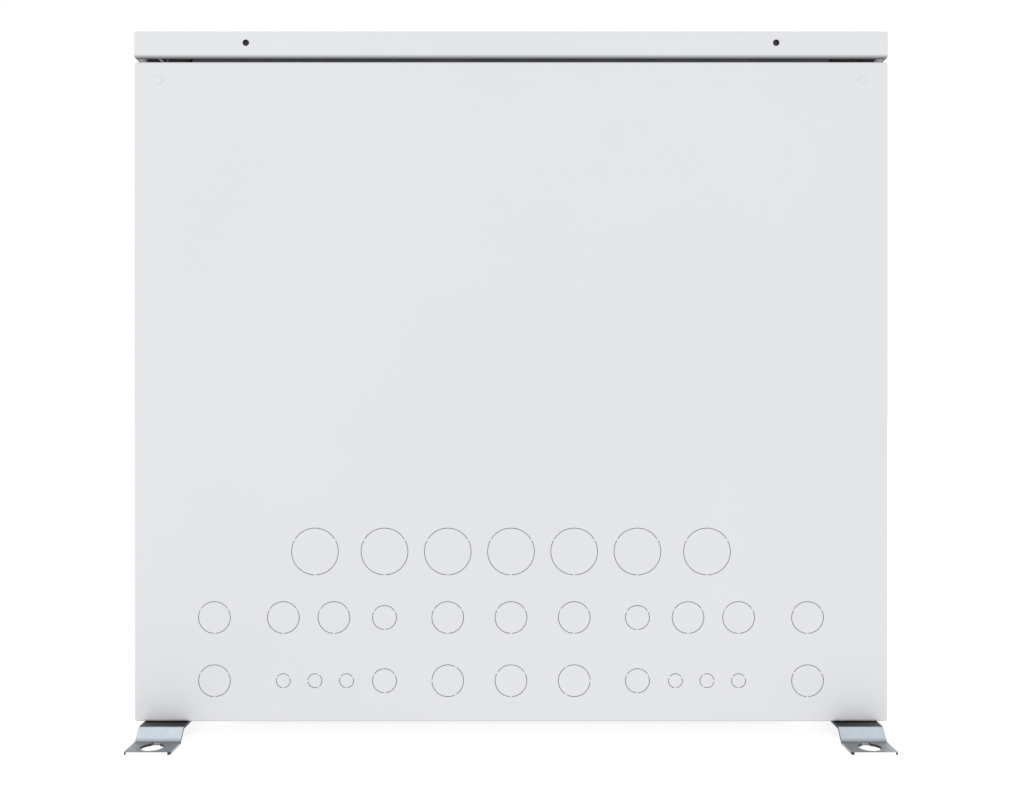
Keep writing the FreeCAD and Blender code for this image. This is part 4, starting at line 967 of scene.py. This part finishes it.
# Loop connectors, each a compression nut below its boss: a chamfered hexagon, a groove and a collar
def makeConnectors(values):
    corner = values["flats"] / math.sqrt(3)
    tall, pipe, mouth = values["length"], values["pipeRadius"], values["mouth"]
    collar, top = values["collarRadius"], tall + values["collarLength"]
    groove = corner - values["grooveDepth"]
    rows = [[pipe, mouth], [pipe, 0.8], [pipe + 0.8, 0], [corner - values["chamfer"], 0],
            [corner, values["chamfer"] * 0.6], [corner, tall * 0.72], [groove, tall * 0.74],
            [groove, tall * 0.8], [corner - 1.0, tall * 0.82], [corner - 1.6, tall], [collar, tall],
            [collar, top], [0.5, top]]
    bottom = mouth + 0.6
    inside = [[0.5, bottom], [pipe - values["stop"], bottom], [pipe - values["stop"], mouth], [pipe, mouth]]
    outline = np.concatenate([inside, softened(rows, 0.35)[1:]])
    for which in barNames:
        parts = []
        for number in loopNumbers:
            place = mountPlaces["loop_%d_%s" % (number, which)]
            nut = turned(place, "Z", outline, hexagonLimit(values["flats"]), columns=72)
            parts.append((nut, "satinNickel"))
        makePiece(which + "Connectors", parts, [which + "_connectors"])


makeConnectors(nutValues)

unionValues = {"flats": 41.0, "chamfer": 2.0, "bore": 17.8, "mouth": 18.6}


# Union nuts: a chamfered hexagon with a bore, turned as a closed ring
def makeUnionNuts(values):
    low, high = nodeBox("union_nuts")
    parts = []
    length = high[0] - low[0]
    corner, chamfer = values["flats"] / math.sqrt(3), values["chamfer"]
    bore, mouth = values["bore"], values["mouth"]
    rows = [[bore, 0.6], [mouth, 0], [corner - chamfer, 0], [corner, chamfer * 0.6],
            [corner, length - chamfer * 0.6], [corner - chamfer, length], [mouth, length],
            [bore, length - 0.6]]
    for which in barNames:
        y, z = mountPlaces["main_" + which][1:]
        nut = turned((low[0], y, z), "X", softened(rows, 0.35, closed=True), hexagonLimit(values["flats"]),
                     columns=72, ends="ring")
        parts.append((nut, "satinNickel"))
    makePiece("unionNuts", parts, ["union_nuts"])


makeUnionNuts(unionValues)

meterValues = {
    "flats": 24.0, "chamfer": 1.0, "bore": 6.0, "tubeRadius": 9.5, "tubeWall": 1.5, "domeShare": 0.6,
    "scaleRings": 6, "firstRing": 20.0, "ringPitch": 3.0, "ringRelief": 0.18, "ringWidth": 0.25,
}


# Clear tube with a dome: radius = outer cos t and height = start + rise sin t, outside and inside
def tubeProfile(values, tall):
    outer, wall = values["tubeRadius"], values["tubeWall"]
    inner, rise = outer - wall, outer * values["domeShare"]
    slope = np.linspace(0, math.pi / 2, 10)[:-1]
    relief = outer - values["ringRelief"]
    outside = [[relief, 0]]
    for ringNumber in range(values["scaleRings"]):
        level = values["firstRing"] + values["ringPitch"] * ringNumber
        outside += [[relief, level - values["ringWidth"]], [outer, level],
                    [relief, level + values["ringWidth"]]]
    dome = np.stack([outer * np.cos(slope), tall - rise + rise * np.sin(slope)], axis=-1)
    innerDome = np.stack([inner * np.cos(slope), tall - rise - wall + rise * np.sin(slope)], axis=-1)
    return np.concatenate([outside, dome, [[0.3, tall], [0.3, tall - wall]], innerDome[::-1], [[inner, 0]]])


# Flow meters: a brass hexagon below, a clear domed tube above with raised scale rings
def makeFlowMeters(values):
    low, high = nodeBox("flow_meter_bases")
    tubeLow, tubeHigh = nodeBox("sight_tubes")
    bases, tubes = [], []
    corner, chamfer, bore = values["flats"] / math.sqrt(3), values["chamfer"], values["bore"]
    height = high[2] - low[2]
    rows = [[bore, 0.3], [corner - chamfer, 0], [corner, chamfer * 0.6], [corner, height - chamfer * 0.6],
            [corner - chamfer, height], [bore, height - 0.3]]
    skin = tubeProfile(values, tubeHigh[2] - tubeLow[2])
    for number in loopNumbers:
        x, y = mountPlaces["loop_%d_supply" % number][:2]
        base = turned((x, y, low[2]), "Z", softened(rows, 0.3, closed=True), hexagonLimit(values["flats"]),
                      columns=72, ends="ring")
        bases.append((base, "turnedBrass"))
        tubes.append((turned((x, y, tubeLow[2]), "Z", skin, columns=56, ends="ring"), "clearMoulding"))
    makePiece("flowMeterBases", bases, ["flow_meter_bases"])
    makePiece("sightTubes", tubes, ["sight_tubes"])


makeFlowMeters(meterValues)

floatValues = {"radius": 5.0, "footShare": 0.7, "headShare": 0.8, "chamfer": 0.9, "softness": 0.35}


# Floats: a short turned body with a chamfer below and above
def makeFloats(values):
    low, high = nodeBox("flow_floats")
    parts = []
    radius, tall = values["radius"], high[2] - low[2]
    rows = [[0.3, 0], [radius * values["footShare"], 0], [radius, values["chamfer"]], [radius, tall - 0.6],
            [radius * values["headShare"], tall], [0.3, tall]]
    for number in loopNumbers:
        x, y = mountPlaces["loop_%d_supply" % number][:2]
        body = turned((x, y, low[2]), "Z", softened(rows, values["softness"]), columns=40)
        parts.append((body, "redPlastic"))
    makePiece("flowFloats", parts, ["flow_floats"])


makeFloats(floatValues)

ringValues = {"flutes": 12, "fluteDepth": 0.9, "bore": 9.6, "softness": 1.0}
capValues = {"flutes": 16, "fluteDepth": 0.9, "bore": 14.9, "wall": 2.6, "softness": 1.6}


# Fluted ring: a closed profile turned about its axis, with grooves cut by the limit
def makeRing(number, values):
    node = "flow_ring_%d" % number
    low, high = nodeBox(node)
    x, y = mountPlaces["loop_%d_supply" % number][:2]
    radius, tall, bore = (high[0] - low[0]) / 2, high[2] - low[2], values["bore"]
    rows = [[bore, 0.4], [bore + 0.4, 0], [radius, 0], [radius, tall], [bore + 0.4, tall], [bore, tall - 0.4]]
    grip = turned((x, y, low[2]), "Z", softened(rows, values["softness"], closed=True, steps=5),
                  fluteLimit(radius, values["fluteDepth"], values["flutes"]),
                  columns=values["flutes"] * 10, ends="ring")
    makePiece("flowRing%d" % number, [(grip, "redPlastic")], [node])


# Fluted cap: hollow below, with a stepped top
def makeCap(number, values):
    node = "valve_cap_%d" % number
    low, high = nodeBox(node)
    x, y = mountPlaces["loop_%d_return" % number][:2]
    radius, tall, bore = (high[0] - low[0]) / 2, high[2] - low[2], values["bore"]
    ceiling = tall - values["wall"]
    rows = [[0.4, ceiling], [bore, ceiling], [bore, 0], [radius, 0], [radius, tall * 0.82],
            [radius * 0.86, tall - 0.5], [radius * 0.62, tall - 0.5], [radius * 0.58, tall], [0.4, tall]]
    body = turned((x, y, low[2]), "Z", softened(rows, values["softness"], steps=5),
                  fluteLimit(radius, values["fluteDepth"], values["flutes"]), columns=values["flutes"] * 8)
    makePiece("valveCap%d" % number, [(body, "bluePlastic")], [node])


for number in loopNumbers:
    makeRing(number, ringValues)
    makeCap(number, capValues)

insertValues = {
    "flats": 24.0, "base": 9.0, "chamfer": 1.0, "neck": 14.8, "neckLength": 10.0, "stem": 2.5,
    "thread": 1.5, "threadDepth": 0.55,
}


# Valve inserts: a hexagon, a threaded neck whose ridges are a zigzag profile, and the stem
def makeInserts(values):
    low, high = nodeBox("valve_inserts")
    parts = []
    corner, base = values["flats"] / math.sqrt(3), values["base"]
    neck, neckLength = values["neck"], values["neckLength"]
    hexagon = softened([[0.4, 0], [corner - values["chamfer"], 0], [corner, 0.7], [corner, base - 0.7],
                        [corner - values["chamfer"], base], [0.4, base]], 0.3)
    ridges = np.arange(0, neckLength - 1, values["thread"] / 2)
    wave = np.where(np.arange(len(ridges)) % 2 == 0, 0.0, values["threadDepth"])
    thread = np.stack([neck - wave, ridges + 0.3], axis=-1)
    neckRows = np.concatenate([[[0.4, 0.05]], thread, [[neck - 1.2, neckLength], [0.4, neckLength]]])
    stemLength = high[2] - low[2] - base - neckLength
    stem = softened([[0.3, 0], [values["stem"], 0], [values["stem"], stemLength - 0.1],
                     [0.3, stemLength]], 0.6)
    for number in loopNumbers:
        x, y = mountPlaces["loop_%d_return" % number][:2]
        foot = (x, y, low[2])
        parts.append((turned(foot, "Z", hexagon, hexagonLimit(values["flats"]), columns=72), "turnedBrass"))
        parts.append((turned((x, y, low[2] + base), "Z", neckRows, columns=64), "turnedBrass"))
        parts.append((turned((x, y, low[2] + base + neckLength), "Z", stem, columns=32), "boltZinc"))
    makePiece("valveInserts", parts, ["valve_inserts"])


makeInserts(insertValues)

handleValues = {
    "width": 13.0, "waist": 0.62, "bluntness": 0.6, "thickness": 8.0, "softness": 1.3, "hubRadius": 8.6,
    "hubRecess": 1.2, "screwSink": 1.6,
}


# Butterfly handle: x = length / 2 cos a, half width = width / 2 sin a^bluntness (waist + (1 - waist) cos a^2)
def makeHandles(values):
    for which, finish in (("supply", "redPlastic"), ("return", "bluePlastic")):
        node = "valve_handle_" + which
        low, high = nodeBox(node)
        centre = jointPlaces["lever_%s_turn" % which]
        angle = np.arange(64) * 2 * math.pi / 64
        x = (high[0] - low[0]) / 2 * np.cos(angle)
        rounded = np.sign(np.sin(angle)) * np.abs(np.sin(angle)) ** values["bluntness"]
        waist = values["waist"] + (1 - values["waist"]) * np.cos(angle) ** 2
        outline = np.stack([-x, values["width"] / 2 * rounded * waist], axis=-1)[::-1]
        place = (centre[0], high[1], centre[2])
        plate = sheetSurface(outline, [], values["thickness"], place, (-1, 0, 0), (0, 0, 1))
        tall, hubRadius = high[1] - low[1], values["hubRadius"]
        recess = tall - values["hubRecess"]
        hubRows = [[0.4, 0], [hubRadius, 0], [hubRadius, tall], [5.0, tall], [4.6, recess], [0.4, recess]]
        hub = turned((centre[0], low[1], centre[2]), "Y", softened(hubRows, 0.6), columns=48)
        screwRows = [[0.3, 0], [3.4, 0], [3.4, 0.9], [2.6, 1.3], [0.3, 1.3]]
        screwPlace = (centre[0], high[1] - values["screwSink"], centre[2])
        screw = turned(screwPlace, "Y", softened(screwRows, 0.3), columns=32)
        parts = [(plate, finish), (hub, finish), (screw, "boltZinc")]
        makePiece("valveHandle" + which.title(), parts, [node], edgeWidth=values["softness"], weighted=True)


makeHandles(handleValues)

knobValues = {
    "ventFlutes": 10, "ventDepth": 0.8, "ventGrip": 11.0, "stemRadius": 3.0,
    "drainFlutes": 8, "drainDepth": 0.5, "drainRadius": 11.0, "drainLength": 14.0,
    "wingThickness": 5.0, "wingReach": 13.0, "wingStart": 3, "softness": 0.9,
}


# Vent wheel: a stem and a fluted grip with a dished top
def makeVentKnob(which, values):
    node = "vent_knob_" + which
    low, high = nodeBox(node)
    x, y, _ = jointPlaces["vent_%s_turn" % which]
    radius, tall, stem = (high[0] - low[0]) / 2, high[2] - low[2], values["stemRadius"]
    start = tall - values["ventGrip"]
    rows = [[0.3, 0], [stem, 0], [stem, start], [radius, start], [radius, tall], [radius * 0.5, tall],
            [radius * 0.44, tall - 0.8], [0.3, tall - 0.8]]
    wheel = turned((x, y, low[2]), "Z", softened(rows, 0.9, steps=4),
                   fluteLimit(radius, values["ventDepth"], values["ventFlutes"]),
                   columns=values["ventFlutes"] * 10)
    makePiece("ventKnob" + which.title(), [(wheel, "blackPlastic")], [node])


# Drain cap: a stem, a fluted cap and a flat wing across it
def makeDrainKnob(which, values):
    node = "drain_knob_" + which
    low, high = nodeBox(node)
    x, _, z = jointPlaces["drain_%s_turn" % which]
    radius, tall, stem = values["drainRadius"], high[1] - low[1], values["stemRadius"]
    start = tall - values["drainLength"]
    rows = [[0.3, 0], [stem, 0], [stem, start], [radius, start], [radius, tall * 0.75],
            [radius * 0.9, tall - 1.0], [0.3, tall - 0.6]]
    cap = turned((x, low[1], z), "Y", softened(rows, 0.8, steps=4),
                 fluteLimit(radius, values["drainDepth"], values["drainFlutes"]),
                 columns=values["drainFlutes"] * 10)
    half, reach = values["wingThickness"] / 2, values["wingReach"]
    wing = blockSurface((x - half, low[1] + start + values["wingStart"], z - reach),
                        (x + half, high[1], z + reach))
    makePiece("drainKnob" + which.title(), [(cap, "blackPlastic"), (wing, "blackPlastic")], [node],
              edgeWidth=values["softness"], weighted=True)


for which in barNames:
    makeVentKnob(which, knobValues)
    makeDrainKnob(which, knobValues)
print("stage: connectors, meters, caps, handles and knobs")

dialValues = {
    "caseRadius": 17.0, "caseDepth": 9.0, "caseReach": 25.0, "faceRadius": 14.6, "stemRadius": 3.5,
    "stemLength": 10.0, "firstNumber": 0, "lastNumber": 80, "stepNumber": 20, "stepTick": 5, "sweep": 270.0,
    "numberSize": 3.2, "numberRadius": 9.4, "tickRadius": 13.6, "tickLength": 1.7, "needleLength": 10.5,
    "needleTail": 3.0, "reading": {"supply": 42.0, "return": 34.0},
}


def dialAngle(value, values):
    share = (value - values["firstNumber"]) / (values["lastNumber"] - values["firstNumber"])
    return math.radians(90 + values["sweep"] / 2 - values["sweep"] * share)


# Flat bar on the dial between two radii, at an angle seen from the door side
def dialBar(centre, front, angle, inner, outer, width, thickness):
    way, across = np.array([math.cos(angle), math.sin(angle)]), np.array([-math.sin(angle), math.cos(angle)])
    outline = [way * inner - across * width / 2, way * outer - across * width / 2 * 0.7,
               way * outer + across * width / 2 * 0.7, way * inner + across * width / 2]
    return sheetSurface(outline, [], thickness, (centre[0], front, centre[2]), (-1, 0, 0), (0, 0, 1))


# A number as a thin plate: a text curve is made a mesh, then its points are turned to face the door side
def dialNumber(text, centre, front, size):
    curve = bpy.data.curves.new("number", "FONT")
    curve.body = text
    curve.size = size
    curve.extrude = 0.05
    curve.align_x = "CENTER"
    curve.align_y = "CENTER"
    holder = bpy.data.objects.new("number", curve)
    mesh = bpy.data.meshes.new_from_object(holder)
    flat = np.zeros(len(mesh.vertices) * 3, np.float32)
    mesh.vertices.foreach_get("co", flat)
    flat = flat.reshape(-1, 3)
    faces = [list(polygon.vertices) for polygon in mesh.polygons]
    points = np.stack([centre[0] - flat[:, 0], front + flat[:, 2], centre[2] + flat[:, 1]], axis=-1)
    bpy.data.objects.remove(holder)
    bpy.data.meshes.remove(mesh)
    bpy.data.curves.remove(curve)
    return points, faces, np.zeros(len(faces), int)


# Ticks and numbers round the dial, then the needle over its boss
def dialMarks(centre, which, values):
    x, faceLevel, z = centre
    parts = []
    for value in range(values["firstNumber"], values["lastNumber"] + 1, values["stepTick"]):
        angle = dialAngle(value, values)
        numbered = value % values["stepNumber"] == 0
        start = values["tickRadius"] - values["tickLength"] * (1.5 if numbered else 1.0)
        width = 0.6 if numbered else 0.3
        tick = dialBar(centre, faceLevel + 0.12, angle, start, values["tickRadius"], width, 0.14)
        parts.append((tick, "dialInk"))
        if numbered:
            radius = values["numberRadius"]
            place = (x - radius * math.cos(angle), 0, z + radius * math.sin(angle))
            parts.append((dialNumber(str(value), place, faceLevel + 0.06, values["numberSize"]), "dialInk"))
    angle = dialAngle(values["reading"][which], values)
    needle = dialBar(centre, faceLevel + 0.7, angle, -values["needleTail"], values["needleLength"], 1.1, 0.3)
    boss = softened([[0.3, 0], [1.6, 0], [1.6, 0.9], [0.3, 1.1]], 0.2)
    return parts + [(needle, "redPlastic"), (turned(centre, "Y", boss, columns=28), "dialInk")]


# Dial thermometers: a turned case, its stem into the bar, a white face and its marks
def makeThermometers(values):
    low, high = nodeBox("thermometers")
    parts = []
    x = (low[0] + high[0]) / 2
    case, depth, faceRadius = values["caseRadius"], values["caseDepth"], values["faceRadius"]
    rim = [[0.4, 0], [case - 2.0, 0], [case, 2.2], [case, depth - 1.2], [case - 0.9, depth],
           [faceRadius + 0.6, depth], [faceRadius, depth - 1.6], [0.4, depth - 1.6]]
    stemRadius, stemLength = values["stemRadius"], values["stemLength"]
    stem = softened([[0.3, 0], [stemRadius, 0], [stemRadius, stemLength], [0.3, stemLength]], 0.2)
    face = [[0.3, 0], [faceRadius, 0], [faceRadius, 0.1], [0.3, 0.1]]
    for which in barNames:
        y, z = mountPlaces["main_" + which][1:]
        back = y + values["caseReach"]
        faceLevel = back + depth - 1.45
        parts.append((turned((x, back, z), "Y", softened(rim, 0.5), columns=72), "dialCase"))
        parts.append((turned((x, back - stemLength + 0.4, z), "Y", stem, columns=32), "satinNickel"))
        parts.append((turned((x, faceLevel - 0.1, z), "Y", face, columns=64), "dialFace"))
        parts += dialMarks((x, faceLevel, z), which, values)
    makePiece("thermometers", parts, ["thermometers"])


makeThermometers(dialValues)

lockValues = {
    "barrelRadius": 9.0, "flangeRadius": 11.5, "flange": 2.0, "plugRadius": 6.0, "plugGap": 0.05,
    "faceDepth": 3.0, "slotWidth": 1.6, "slotLength": 7.0, "nutFlats": 24.0, "nutHeight": 5.0,
    "doorSheet": 1.2,
}


# Cam lock: a flanged barrel in the door with its nut, and a plug whose face has a key slot
def makeLock(values):
    low, high = nodeBox("lock_barrel")
    centre = jointPlaces["lock_turn"]
    tall, radius = high[1] - low[1], values["plugRadius"]
    collar, wide = tall - values["flange"], values["flangeRadius"]
    rows = [[radius + 0.1, 0], [values["barrelRadius"], 0], [values["barrelRadius"], collar], [wide, collar],
            [wide, tall - 0.7], [wide - 1.4, tall], [radius + 0.5, tall], [radius + 0.1, tall - 0.5]]
    barrel = turned((centre[0], low[1], centre[2]), "Y", softened(rows, 0.4, closed=True),
                    columns=72, ends="ring")
    nutLow = nodeBox("door_panel")[1][1] - values["doorSheet"] - values["nutHeight"]
    nutRows = [[9.05, 0], [13.0, 0], [13.8, 0.7], [13.8, 4.3], [13.0, 5.0], [9.05, 5.0]]
    nut = turned((centre[0], nutLow, centre[2]), "Y", softened(nutRows, 0.2, closed=True),
                 hexagonLimit(values["nutFlats"]), columns=72, ends="ring")
    makePiece("lockBarrel", [(barrel, "lockChrome"), (nut, "boltZinc")], ["lock_barrel"])
    low, high = nodeBox("lock_plug")
    radius = values["plugRadius"] - values["plugGap"]
    across, upwards = values["slotWidth"] / 2, values["slotLength"] / 2
    slot = [[-across, -upwards], [across, -upwards], [across, upwards], [-across, upwards]]
    face = sheetSurface(circleOutline(0, 0, radius, 48), [slot], values["faceDepth"],
                        (centre[0], high[1], centre[2]), (-1, 0, 0), (0, 0, 1))
    length = high[1] - low[1] - values["faceDepth"]
    rodRows = [[0.3, 0], [radius, 0], [radius, length], [0.3, length]]
    rod = turned((centre[0], low[1], centre[2]), "Y", rodRows, columns=48)
    parts = [(face, ("lockChrome", "cutEdge", "lockChrome")), (rod, "lockChrome")]
    makePiece("lockPlug", parts, ["lock_plug"])


makeLock(lockValues)
print("stage: thermometers and lock")


floorValues = {"reach": 12.0, "below": 0.0002}


def makeFloor(values):
    reach, level = values["reach"], -values["below"]
    mesh = bpy.data.meshes.new("floor")
    corners = [(-reach, -reach, level), (reach, -reach, level), (reach, reach, level), (-reach, reach, level)]
    mesh.from_pydata(corners, [], [(0, 1, 2, 3)])
    mesh.materials.append(finishes["paleFloor"])
    floor = bpy.data.objects.new("floor", mesh)
    bpy.context.scene.collection.objects.link(floor)


makeFloor(floorValues)
print("stage: floor")
